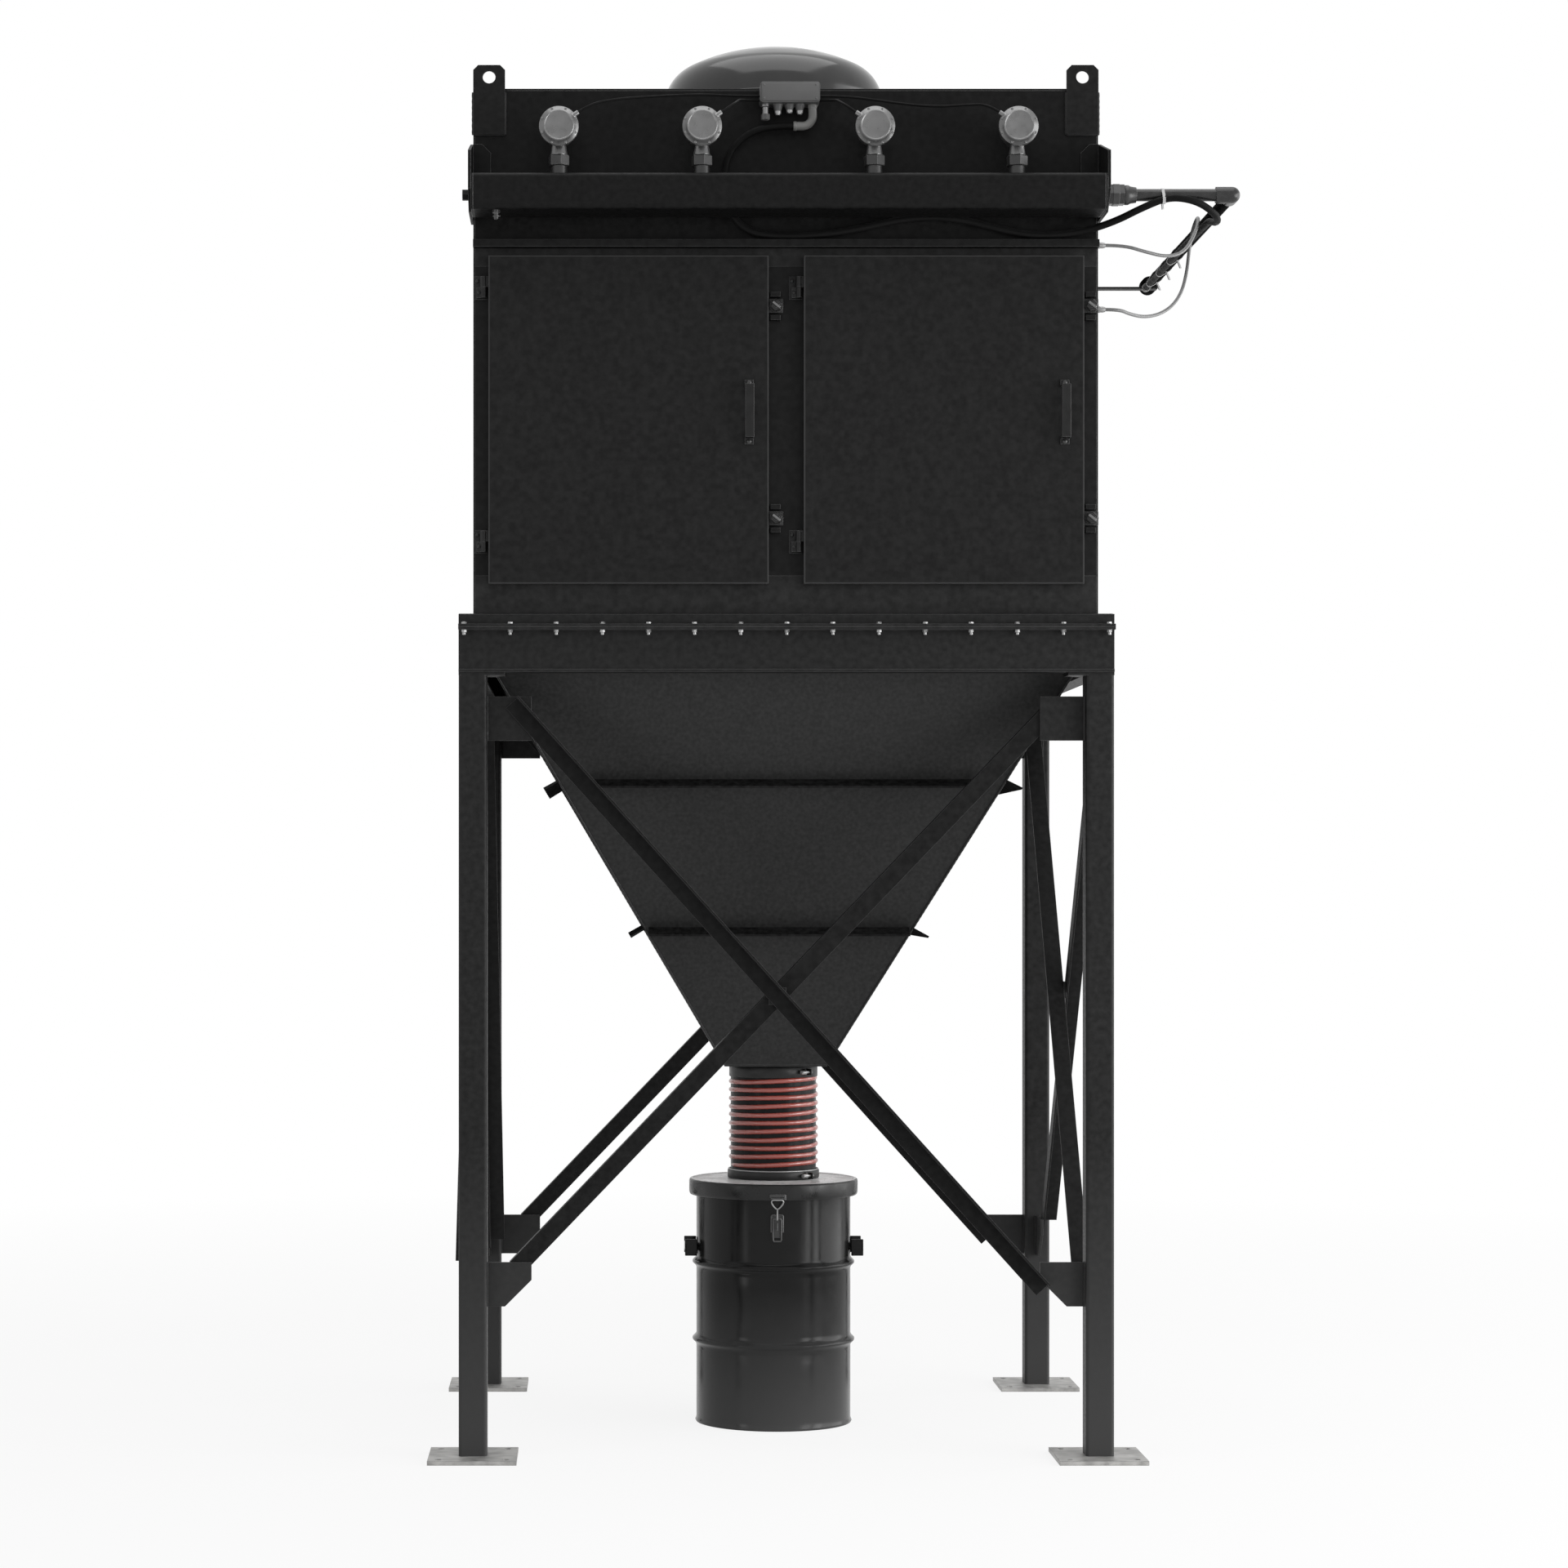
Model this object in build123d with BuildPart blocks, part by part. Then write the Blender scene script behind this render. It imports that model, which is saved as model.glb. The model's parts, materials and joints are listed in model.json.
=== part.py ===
from build123d import *
import math

# Cartridge dust collector on four legs, millimetres.
# +Z is up, the doors face -Y, and the origin is on the floor at the centre of the legs.

# Main sizes of the housing and its frame
housing_x = 1768
housing_y = 1430
housing_height = 1480
chamber_height = 1054
frame_height = 2222

# Legs and feet
leg_size = 80
leg_wall = 5
leg_corner_r = 10
frame_ledge_x = 40
frame_ledge_y = 45
foot_size = 250
foot_thick = 12
foot_hole_spacing = 190
foot_hole_r = 9
cap_width = 130
cap_depth = 100
cap_thick = 9

# Cross bracing
gusset_size = 125
gusset_thick = 8
gusset_top_drop = 67
gusset_low_z = 430
gusset_chamfer = 75
brace_leg = 50
brace_thick = 6
brace_top_drop = 84
brace_top_inset = 70
long_brace_low_z = 478
long_brace_low_inset = 118
short_brace_low_z = 536
short_brace_low_inset = 80

# Support beams under the housing
beam_height = 126
beam_web = 7
beam_flange = 62
beam_flange_thick = 8
bolt_lip = 28
lower_lip = 5

# Base frame of the housing
skirt_height = 42
skirt_thick = 6
skirt_lip_thick = 8
ledge_drop = 5

# Drum and its lid
drum_r = 233
drum_wall = 3
drum_height = 731
drum_hoop = 12
drum_hoop_half = 16
drum_hoop_low = 250
drum_hoop_gap = 233
lid_r = 255
lid_band = 48
lid_thick = 4
drum_latch_count = 3
drum_latch_width = 34
drum_latch_height = 90
drum_latch_thick = 14
drum_handle_drop = 203
drum_handle_width = 110
drum_handle_height = 50
drum_handle_proud = 36
drum_handle_thick = 6

# Hose between the drum and the hopper
outlet_plate = 6
outlet_r = 125
outlet_wall = 4
outlet_length = 49
hose_seat = 25
hose_length = 319
hose_wall = 4
hose_rib = 6
hose_rib_count = 11
clamp_height = 16
clamp_thick = 3
clamp_ear = 22

# Hopper
hopper_inset_x = 36
hopper_inset_y = 53
hopper_outlet_size = 306
hopper_thick = 5
stiffener_width = 50
stiffener_thick = 6
stiffener_shares = (0.324, 0.666)

# Sheets of the housing
sheet = 4
roof_thick = 5
tube_plate = 6
ledge_height = 21
ledge_proud = 30

# Doors
door_thick = 30
door_sheet = 3
door_sill = 82
door_head = 26
door_side_margin = 44
door_mid_gap = 100
door_lap = 25
door_gap = 5
frame_return = 40

# Hinges, latches and handles
hinge_offset = 14
hinge_barrel_r = 9
hinge_pin_r = 5
hinge_pin_clearance = 0.3
hinge_half = 30
hinge_slot = 1
hinge_leaf = 10
hinge_block_reach = 20
hinge_low_inset = 120
hinge_top_inset = 87
latch_low_inset = 185
latch_top_inset = 140
latch_reach = 42
latch_height = 40
latch_thick = 6
latch_back = 18
knob_r = 20
knob_washer = 4
knob_hex_r = 15
knob_hex_length = 15
knob_tip_r = 9
knob_tip_length = 7
knob_stud_r = 6
knob_clearance = 0.3
cheek_gap = 6
cheek_width = 28
cheek_height = 14
cheek_proud = 24
handle_width = 25
handle_thick = 5
handle_depth = 45
handle_grip = 150
handle_foot = 16
handle_edge = 55
handle_rise = 483

# Compressed-air header and pulse valves
header_deep = 150
header_height = 101
header_drop = 270
header_gap = 50
header_wall = 6
header_corner_r = 14
bracket_thick = 8
bracket_rise = 117
bracket_front_drop = 56
bracket_wing = 50
valve_shares = (-0.724, -0.2726, 0.2726, 0.724)
valve_rise = 135
valve_cover_r = 56
valve_cover_thick = 18
valve_disc_r = 42
valve_disc_thick = 6
valve_body_r = 46
valve_body_deep = 64
valve_neck_r = 24
valve_shoulder_r = 30
valve_shoulder_drop = 26
valve_nut_af = 61
valve_nut_height = 28
valve_stub_r = 22
valve_stub_height = 36
lead_plug_r = 7
lead_plug_length = 10
lead_plug_angle = 35
lead_straight = 38
blow_tube_r = 24
blow_tube_wall = 3
blow_tube_clearance = 0.3
blow_tube_end_gap = 90

# Junction box and its glands
box_x = 9
box_width = 168
box_height = 58
box_deep = 70
box_drop = 48
box_corner_r = 9
gland_r = 9
gland_height = 24
gland_spots = (-68, -33, 0, 29)
elbow_r = 11
elbow_x = 65
elbow_drop = 60
elbow_reach = 54
elbow_bend_r = 28
wall_gland_y = -690
wall_gland_drops = (8, 190)

# Lifting lugs
lug_width = 90
lug_height = 196
lug_thick = 10
lug_rise = 70
lug_chamfer = 14
lug_hole_r = 18
lug_hole_drop = 34

# Clean-air outlet on the roof, under a domed cowl
collar_r = 230
collar_wall = 4
collar_height = 130
cowl_r = 329
cowl_rise = 115
cowl_dome = 161
cowl_knuckle_r = 110
cowl_skirt = 25
cowl_sheet = 3
stay_count = 4
stay_thick = 5

# Dirty-air inlet at the back
inlet_r = 250
inlet_length = 130
inlet_flange_r = 281
inlet_flange_thick = 8
inlet_bolt_r = 267
inlet_rise = 325
duct_bolts = 12
duct_bolt_hole_r = 5.5

# Compressed-air supply line
pipe_r = 17
pipe_bore_r = 13.5
pipe_reach = 356
pipe_end_inset = 25
pipe_elbow_r = 23
pipe_elbow_length = 45
union_r = 27
union_length = 46
plug_r = 14
plug_length = 18
clip_thick = 6
clip_width = 40
conduit_fitting_r = 14
conduit_fitting_length = 24
conduit_clearance = 0.3

# Filter cartridges
cartridge_r = 162
cartridge_bore_r = 110
cartridge_length = 660
cartridge_floor = 40
cartridge_row_shares = (-0.3, 0, 0.3)
tube_hole_r = 130

# Cords
lead_r = 3.5
conduit_r = 10
signal_r = 5
arc_share = 0.45

# Places that follow from the sizes above
wall_x = housing_x / 2
wall_y = housing_y / 2
outer_x = wall_x + frame_ledge_x
outer_y = wall_y + frame_ledge_y
leg_span_x = 2 * outer_x - leg_size
leg_span_y = 2 * outer_y - leg_size
beam_top = frame_height + beam_height
housing_low = beam_top + skirt_height
housing_top = housing_low + housing_height
tube_sheet_top = housing_low + chamber_height
lid_top_z = drum_height + lid_thick
hose_low_z = lid_top_z + hose_seat
hose_top_z = hose_low_z + hose_length
hopper_low_z = hose_top_z + outlet_plate
hopper_top_z = beam_top - beam_flange_thick
hopper_top_x = 2 * (outer_x - hopper_inset_x)
hopper_top_y = 2 * (outer_y - hopper_inset_y)
ledge_low = tube_sheet_top - ledge_height
door_width = wall_x - door_side_margin - door_mid_gap / 2
door_centre_x = door_mid_gap / 2 + door_width / 2
door_low_z = housing_low + door_sill
door_top_z = ledge_low - door_head
door_height = door_top_z - door_low_z
opening_width = door_width - 2 * door_lap
opening_low = door_low_z + door_lap
opening_high = door_top_z - door_lap
opening_near = door_centre_x - opening_width / 2
opening_far = door_centre_x + opening_width / 2
hinge_levels = (door_low_z + hinge_low_inset, door_top_z - hinge_top_inset)
latch_levels = (door_low_z + latch_low_inset, door_top_z - latch_top_inset)
handle_z = door_low_z + handle_rise
door_back = -wall_y - door_gap
door_mid = door_back - door_thick / 2
door_front = door_back - door_thick
header_back = -wall_y - header_gap
header_mid_y = header_back - header_deep / 2
header_front = header_back - header_deep
header_top = housing_top - header_drop
header_low_z = header_top - header_height
pipe_z = header_low_z + header_height / 2
valve_z = header_top + valve_rise
valve_spots_x = [share * wall_x for share in valve_shares]
box_low_z = housing_top - box_drop
box_mid_y = -wall_y - box_deep / 2
lug_top_z = housing_top + lug_rise
inlet_z = housing_low + inlet_rise
pipe_reach_x = wall_x + pipe_reach
pipe_end_y = wall_y - pipe_end_inset
sides = (-1, 1)


def export_piece(piece, node):
    """Label a finished piece and write its STEP file."""
    piece.part.label = node
    export_step(piece.part, f"parts/{node}.step")


def box_between(low, high, mode=Mode.ADD):
    """A box from its lowest to its highest corner."""
    size = [top - bottom for bottom, top in zip(low, high)]
    middle = [(top + bottom) / 2 for bottom, top in zip(low, high)]
    with Locations(tuple(middle)):
        Box(*size, mode=mode)


# Feet: square plates with four anchor holes each
with BuildPart() as foot_plates:
    with BuildSketch():
        with GridLocations(leg_span_x, leg_span_y, 2, 2):
            Rectangle(foot_size, foot_size)
            with GridLocations(foot_hole_spacing, foot_hole_spacing, 2, 2):
                Circle(foot_hole_r, mode=Mode.SUBTRACT)
    extrude(amount=foot_thick)
export_piece(foot_plates, "foot_plates")

# Legs: square tubes closed by a cap plate that reaches inwards
with BuildPart() as legs:
    with BuildSketch(Plane.XY.offset(foot_thick)):
        with GridLocations(leg_span_x, leg_span_y, 2, 2):
            RectangleRounded(leg_size, leg_size, leg_corner_r)
            inner = leg_size - 2 * leg_wall
            RectangleRounded(inner, inner, leg_corner_r - leg_wall, mode=Mode.SUBTRACT)
    extrude(amount=frame_height - cap_thick - foot_thick)
    with BuildSketch(Plane.XY.offset(frame_height - cap_thick)):
        with GridLocations(2 * outer_x - cap_width, 2 * outer_y - cap_depth, 2, 2):
            Rectangle(cap_width, cap_depth)
    extrude(amount=cap_thick)
export_piece(legs, "legs")


def side_frame(outward):
    """Half width, centre line and direction to the right of one side of the leg frame."""
    right = Vector(0, 0, 1).cross(outward)
    if abs(outward.X) > abs(outward.Y):
        return leg_span_y / 2 - leg_size / 2, leg_span_x / 2, right
    return leg_span_x / 2 - leg_size / 2, leg_span_y / 2, right


def add_gussets(outward):
    """Four gussets in one side of the frame, the lower ones with a cut corner."""
    half, line, right = side_frame(outward)
    plane = Plane(origin=outward * (line - gusset_thick / 2), x_dir=right, z_dir=outward)
    inner_edge = half - gusset_size
    lower_top = gusset_low_z + gusset_size
    upper_mid = frame_height - gusset_top_drop - gusset_size / 2
    with BuildSketch(plane) as outline:
        for side in sides:
            with Locations((side * (half - gusset_size / 2), upper_mid)):
                Rectangle(gusset_size, gusset_size)
            with BuildLine():
                Polyline(
                    (side * half, gusset_low_z),
                    (side * half, lower_top),
                    (side * inner_edge, lower_top),
                    (side * inner_edge, gusset_low_z + gusset_chamfer),
                    (side * (inner_edge + gusset_chamfer), gusset_low_z),
                    close=True,
                )
            make_face()
    extrude(outline.sketch, amount=gusset_thick)


def add_brace(start, end, outward):
    """One angle bar with its outstanding leg along its upper edge, pointing outward."""
    along = (end - start).normalized()
    with BuildSketch(Plane(origin=start, x_dir=outward.cross(along), z_dir=along)) as profile:
        with Locations((0, brace_thick / 2)):
            Rectangle(brace_leg, brace_thick)
        with Locations((brace_leg / 2 - brace_thick / 2, brace_leg / 2)):
            Rectangle(brace_thick, brace_leg)
    extrude(profile.sketch, amount=(end - start).length)


long_low = (long_brace_low_inset, long_brace_low_z)
short_low = (short_brace_low_inset, short_brace_low_z)
brace_top_z = frame_height - brace_top_drop


def brace_ends(half, hand, low):
    """Top and low end of one brace, as a place across the frame and a height."""
    return (-hand * (half - brace_top_inset), brace_top_z), (hand * (half - low[0]), low[1])


def add_cross(outward, outer_low, inner_low):
    """A crossed pair of braces, one on each face of the gussets."""
    half, line, right = side_frame(outward)
    for hand, facing, low in ((1, outward, outer_low), (-1, outward * -1, inner_low)):
        face = outward * (line + hand * gusset_thick / 2)
        top_end, low_end = brace_ends(half, hand, low)
        start = face + right * top_end[0] + Vector(0, 0, top_end[1])
        end = face + right * low_end[0] + Vector(0, 0, low_end[1])
        add_brace(start, end, facing)


def add_spacer(outward, outer_low, inner_low):
    """A square plate between the two braces where they cross."""
    half, line, right = side_frame(outward)
    (top_1, high_1), (low_1, foot_1) = brace_ends(half, 1, outer_low)
    (top_2, high_2), (low_2, foot_2) = brace_ends(half, -1, inner_low)
    slope_1 = (foot_1 - high_1) / (low_1 - top_1)
    slope_2 = (foot_2 - high_2) / (low_2 - top_2)
    across = (high_2 - high_1 + slope_1 * top_1 - slope_2 * top_2) / (slope_1 - slope_2)
    level = high_1 + slope_1 * (across - top_1)
    plane = Plane(origin=outward * (line - gusset_thick / 2), x_dir=right, z_dir=outward)
    with BuildSketch(plane) as plate:
        with Locations((across, level)):
            Rectangle(brace_leg, brace_leg)
    extrude(plate.sketch, amount=gusset_thick)


front, rear = Vector(0, -1, 0), Vector(0, 1, 0)
left, right_side = Vector(-1, 0, 0), Vector(1, 0, 0)
frame_sides = (
    (front, long_low, short_low),
    (rear, short_low, long_low),
    (left, short_low, long_low),
    (right_side, short_low, long_low),
)

# Gusset plates on the inner faces of the legs, and spacers where the braces cross
with BuildPart() as gusset_plates:
    for outward, outer_low, inner_low in frame_sides:
        add_gussets(outward)
        add_spacer(outward, outer_low, inner_low)
export_piece(gusset_plates, "gusset_plates")

# Crossed angle braces on the four sides
with BuildPart() as cross_braces:
    for outward, outer_low, inner_low in frame_sides:
        add_cross(outward, outer_low, inner_low)
export_piece(cross_braces, "cross_braces")

# Front and rear support beams: channels with a bolting lip to the outside
with BuildPart() as support_beams_front_rear:
    with BuildSketch(Plane.YZ.offset(-outer_x)):
        with BuildLine():
            Polyline(
                (-outer_y - bolt_lip, beam_top),
                (-outer_y - bolt_lip, beam_top - beam_flange_thick),
                (-outer_y, beam_top - beam_flange_thick),
                (-outer_y, frame_height + beam_flange_thick),
                (-outer_y - lower_lip, frame_height + beam_flange_thick),
                (-outer_y - lower_lip, frame_height),
                (-outer_y + beam_flange, frame_height),
                (-outer_y + beam_flange, frame_height + beam_flange_thick),
                (-outer_y + beam_web, frame_height + beam_flange_thick),
                (-outer_y + beam_web, beam_top - beam_flange_thick),
                (-outer_y + beam_flange, beam_top - beam_flange_thick),
                (-outer_y + beam_flange, beam_top),
                close=True,
            )
        make_face()
    extrude(amount=2 * outer_x)
    mirror(about=Plane.XZ)
export_piece(support_beams_front_rear, "support_beams_front_rear")

# Side support beams: channels whose webs close the ends of the front and rear ones
with BuildPart() as support_beams_sides:
    flange_run = 2 * (outer_y - beam_flange)
    web_run = 2 * (outer_y - beam_web)
    with BuildSketch(Plane.XZ):
        with BuildLine():
            Polyline(
                (-outer_x, frame_height),
                (-outer_x + beam_flange, frame_height),
                (-outer_x + beam_flange, frame_height + beam_flange_thick),
                (-outer_x + beam_web, frame_height + beam_flange_thick),
                (-outer_x + beam_web, beam_top - beam_flange_thick),
                (-outer_x + beam_flange, beam_top - beam_flange_thick),
                (-outer_x + beam_flange, beam_top),
                (-outer_x, beam_top),
                close=True,
            )
        make_face()
    extrude(amount=flange_run / 2, both=True)
    with Locations((-outer_x + beam_web / 2, 0, frame_height + beam_height / 2)):
        Box(beam_web, web_run, beam_height - 2 * beam_flange_thick)
    mirror(about=Plane.YZ)
export_piece(support_beams_sides, "support_beams_sides")

# Base frame of the housing: a skirt with a bolting lip below and a falling ledge above
with BuildPart() as base_flange_front_rear:
    with BuildSketch(Plane.YZ.offset(-outer_x)):
        with BuildLine():
            Polyline(
                (-outer_y - bolt_lip, beam_top),
                (-outer_y + skirt_thick, beam_top),
                (-outer_y + skirt_thick, housing_low - ledge_drop - skirt_thick),
                (-wall_y + frame_return, housing_low - skirt_thick),
                (-wall_y + frame_return, housing_low),
                (-wall_y, housing_low),
                (-outer_y, housing_low - ledge_drop),
                (-outer_y, beam_top + skirt_lip_thick),
                (-outer_y - bolt_lip, beam_top + skirt_lip_thick),
                close=True,
            )
        make_face()
    extrude(amount=2 * outer_x)
    mirror(about=Plane.XZ)
export_piece(base_flange_front_rear, "base_flange_front_rear")

with BuildPart() as base_flange_sides:
    with BuildSketch(Plane.XZ):
        with BuildLine():
            Polyline(
                (-outer_x, beam_top),
                (-outer_x + beam_flange, beam_top),
                (-outer_x + beam_flange, beam_top + skirt_lip_thick),
                (-outer_x + skirt_thick, beam_top + skirt_lip_thick),
                (-outer_x + skirt_thick, housing_low - ledge_drop - skirt_thick),
                (-wall_x + frame_return, housing_low - skirt_thick),
                (-wall_x + frame_return, housing_low),
                (-wall_x, housing_low),
                (-outer_x, housing_low - ledge_drop),
                close=True,
            )
        make_face()
    extrude(amount=wall_y - frame_return, both=True)
    mirror(about=Plane.YZ)
export_piece(base_flange_sides, "base_flange_sides")

# Hopper: four sloping plates mitred along the corners
hopper_rise = hopper_top_z - hopper_low_z
hopper_run_x = (hopper_top_x - hopper_outlet_size) / 2
hopper_run_y = (hopper_top_y - hopper_outlet_size) / 2


def mitre_plane(side_x, side_y, toward):
    """Plane through a hopper corner, with its normal on the side of the given direction."""
    corner = Vector(side_x * hopper_outlet_size / 2, side_y * hopper_outlet_size / 2, hopper_low_z)
    edge = Vector(side_x * hopper_run_x, side_y * hopper_run_y, hopper_rise)
    normal = edge.cross(Vector(side_x, side_y, 0)).normalized()
    if normal.dot(toward) < 0:
        normal = normal * -1
    return Plane(origin=corner, x_dir=edge.normalized(), z_dir=normal)


def cut_to_mitres(outward):
    """Keep the part of the model that belongs to one side of the hopper."""
    right = Vector(0, 0, 1).cross(outward)
    for side in sides:
        corner = outward + right * side
        split(bisect_by=mitre_plane(corner.X, corner.Y, outward), keep=Keep.TOP)


def add_hopper_plate(outward):
    """One sloping plate of the hopper."""
    for shrink, mode in ((0, Mode.ADD), (2 * hopper_thick, Mode.SUBTRACT)):
        with BuildSketch(Plane.XY.offset(hopper_low_z)) as bottom:
            Rectangle(hopper_outlet_size - shrink, hopper_outlet_size - shrink)
        with BuildSketch(Plane.XY.offset(hopper_top_z)) as top:
            Rectangle(hopper_top_x - shrink, hopper_top_y - shrink)
        loft([bottom.sketch.face(), top.sketch.face()], mode=mode)
    cut_to_mitres(outward)


def hopper_plate(outward):
    """One finished plate of the hopper."""
    with BuildPart() as plate:
        add_hopper_plate(outward)
    return plate.part


with BuildPart() as hopper_front_rear_plates:
    add([hopper_plate(front), hopper_plate(rear)])
export_piece(hopper_front_rear_plates, "hopper_front_rear_plates")

with BuildPart() as hopper_side_plates:
    add([hopper_plate(left), hopper_plate(right_side)])
export_piece(hopper_side_plates, "hopper_side_plates")


def add_stiffener(outward, run, level):
    """A flat bar square to one hopper plate, along a level line."""
    right = Vector(0, 0, 1).cross(outward)
    slope = math.atan2(run, hopper_rise)
    reach = hopper_outlet_size / 2 + (level - hopper_low_z) * math.tan(slope)
    out_step = (stiffener_width * math.cos(slope), -stiffener_width * math.sin(slope))
    up_step = (stiffener_thick * math.sin(slope), stiffener_thick * math.cos(slope))
    section_plane = Plane(origin=(0, 0, 0), x_dir=outward, z_dir=outward.cross(Vector(0, 0, 1)))
    with BuildSketch(section_plane) as section:
        with BuildLine():
            Polyline(
                (reach, level),
                (reach + out_step[0], level + out_step[1]),
                (reach + out_step[0] + up_step[0], level + out_step[1] + up_step[1]),
                (reach + up_step[0], level + up_step[1]),
                close=True,
            )
        make_face()
    extrude(section.sketch, amount=reach + stiffener_width, both=True)
    cut_to_mitres(outward)


def stiffener_pair(outward, run, mirror_plane, level):
    """One level of bars on two opposite plates."""
    with BuildPart() as bars:
        add_stiffener(outward, run, level)
        mirror(about=mirror_plane)
    return bars.part


stiffener_levels = [hopper_low_z + share * hopper_rise for share in stiffener_shares]
front_rear_bars = [stiffener_pair(front, hopper_run_y, Plane.XZ, level) for level in stiffener_levels]
side_bars = [stiffener_pair(left, hopper_run_x, Plane.YZ, level) for level in stiffener_levels]

with BuildPart() as hopper_stiffeners_front_rear:
    add(front_rear_bars)
export_piece(hopper_stiffeners_front_rear, "hopper_stiffeners_front_rear")

with BuildPart() as hopper_stiffeners_sides:
    add(side_bars)
export_piece(hopper_stiffeners_sides, "hopper_stiffeners_sides")

# Hopper outlet: a closing plate with a round spigot
outlet_low_z = hopper_low_z - outlet_plate - outlet_length
with BuildPart() as hopper_outlet:
    with BuildSketch(Plane.XY.offset(hopper_low_z - outlet_plate)):
        Rectangle(hopper_outlet_size, hopper_outlet_size)
    extrude(amount=outlet_plate)
    with BuildSketch(Plane.XY.offset(outlet_low_z)):
        Circle(outlet_r)
    extrude(amount=outlet_length)
    Hole(outlet_r - outlet_wall)
export_piece(hopper_outlet, "hopper_outlet")

# Ribbed hose between the outlet and the drum, over both spigots
hose_inner_r = outlet_r
rib_pitch = (hose_top_z - hose_low_z - 2 * clamp_height) / hose_rib_count
with BuildPart() as discharge_hose:
    with BuildSketch(Plane.XZ):
        with BuildLine():
            valley = hose_inner_r + hose_wall
            crest = valley + hose_rib
            ribs_low = hose_low_z + clamp_height
            outline = [(hose_inner_r, hose_low_z), (valley, hose_low_z), (valley, ribs_low)]
            for rib in range(hose_rib_count):
                rib_low = ribs_low + rib * rib_pitch
                outline.append((crest, rib_low + rib_pitch / 2))
                outline.append((valley, rib_low + rib_pitch))
            outline.append((valley, hose_top_z))
            outline.append((hose_inner_r, hose_top_z))
            Polyline(*outline, close=True)
        make_face()
    revolve(axis=Axis.Z)
export_piece(discharge_hose, "discharge_hose")

# Clamps round the two ends of the hose, each with a bolt ear at the front
with BuildPart() as hose_clamps:
    clamp_r = hose_inner_r + hose_wall
    for low_z in (hose_low_z, hose_top_z - clamp_height):
        with BuildSketch(Plane.XY.offset(low_z)):
            Circle(clamp_r + clamp_thick)
            with Locations((0, -clamp_r - clamp_ear / 2)):
                Rectangle(clamp_ear, clamp_ear)
            Circle(clamp_r, mode=Mode.SUBTRACT)
        extrude(amount=clamp_height)
export_piece(hose_clamps, "hose_clamps")

# Drum: an open steel drum with two rolling hoops
with BuildPart() as drum_body:
    with BuildSketch(Plane.XZ):
        with BuildLine():
            outline = [(0, 0), (drum_r, 0)]
            for level in (drum_hoop_low, drum_hoop_low + drum_hoop_gap):
                outline.append((drum_r, level - drum_hoop_half))
                outline.append((drum_r + drum_hoop, level))
                outline.append((drum_r, level + drum_hoop_half))
            outline.append((drum_r, drum_height))
            outline.append((drum_r - drum_wall, drum_height))
            outline.append((drum_r - drum_wall, drum_wall))
            outline.append((0, drum_wall))
            Polyline(*outline, close=True)
        make_face()
    revolve(axis=Axis.Z)
export_piece(drum_body, "drum_body")

# Drum lid: a flat cover with a deep rim and a spigot for the hose
with BuildPart() as drum_lid:
    with BuildSketch(Plane.XZ):
        with BuildLine():
            Polyline(
                (outlet_r - outlet_wall, lid_top_z - lid_thick),
                (lid_r - lid_thick, lid_top_z - lid_thick),
                (lid_r - lid_thick, lid_top_z - lid_band),
                (lid_r, lid_top_z - lid_band),
                (lid_r, lid_top_z),
                (outlet_r, lid_top_z),
                (outlet_r, hose_low_z + 2 * clamp_height),
                (outlet_r - outlet_wall, hose_low_z + 2 * clamp_height),
                close=True,
            )
        make_face()
    revolve(axis=Axis.Z)
export_piece(drum_lid, "drum_lid")

# Toggle latches round the rim and two carrying handles on the drum
with BuildPart() as drum_fittings:
    latch_top = lid_top_z - lid_band / 2
    drum_handle_z = drum_height - drum_handle_drop
    with PolarLocations(0, drum_latch_count, start_angle=-90):
        with Locations((lid_r + drum_latch_thick / 2, 0, latch_top - drum_latch_height / 4)):
            Box(drum_latch_thick, drum_latch_width, drum_latch_height / 2)
        with Locations(((drum_r + lid_r) / 2, 0, latch_top - drum_latch_height * 3 / 4)):
            Box(lid_r - drum_r, drum_latch_width, drum_latch_height / 2)
    for side in sides:
        bar_x = drum_r + drum_handle_proud - drum_handle_thick / 2
        with Locations((side * bar_x, 0, drum_handle_z)):
            Box(drum_handle_thick, drum_handle_width, drum_handle_height / 2)
        arm_outer = drum_r + drum_handle_proud
        arm_inner = drum_r - 2 * drum_handle_thick
        for end in sides:
            arm_y = end * (drum_handle_width - drum_handle_thick) / 2
            with Locations((side * (arm_inner + arm_outer) / 2, arm_y, drum_handle_z)):
                Box(arm_outer - arm_inner, drum_handle_thick, drum_handle_height)
    with BuildSketch():
        Circle(drum_r)
    extrude(amount=drum_height, mode=Mode.SUBTRACT)
export_piece(drum_fittings, "drum_fittings")

# Side walls, rear wall and roof of the housing
with BuildPart() as side_walls:
    for side in sides:
        with Locations((side * (wall_x - sheet / 2), 0, (housing_low + housing_top) / 2)):
            Box(sheet, housing_y, housing_height)
export_piece(side_walls, "side_walls")

with BuildPart() as rear_wall:
    with BuildSketch(Plane.XZ.offset(-wall_y)):
        with Locations((0, (housing_low + housing_top) / 2)):
            Rectangle(housing_x - 2 * sheet, housing_top - housing_low)
        with Locations((0, inlet_z)):
            Circle(inlet_r, mode=Mode.SUBTRACT)
    extrude(amount=sheet)
export_piece(rear_wall, "rear_wall")

with BuildPart() as roof:
    with BuildSketch(Plane.XY.offset(housing_top)):
        Rectangle(housing_x, housing_y)
        Circle(collar_r, mode=Mode.SUBTRACT)
    extrude(amount=roof_thick)
export_piece(roof, "roof")

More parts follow.
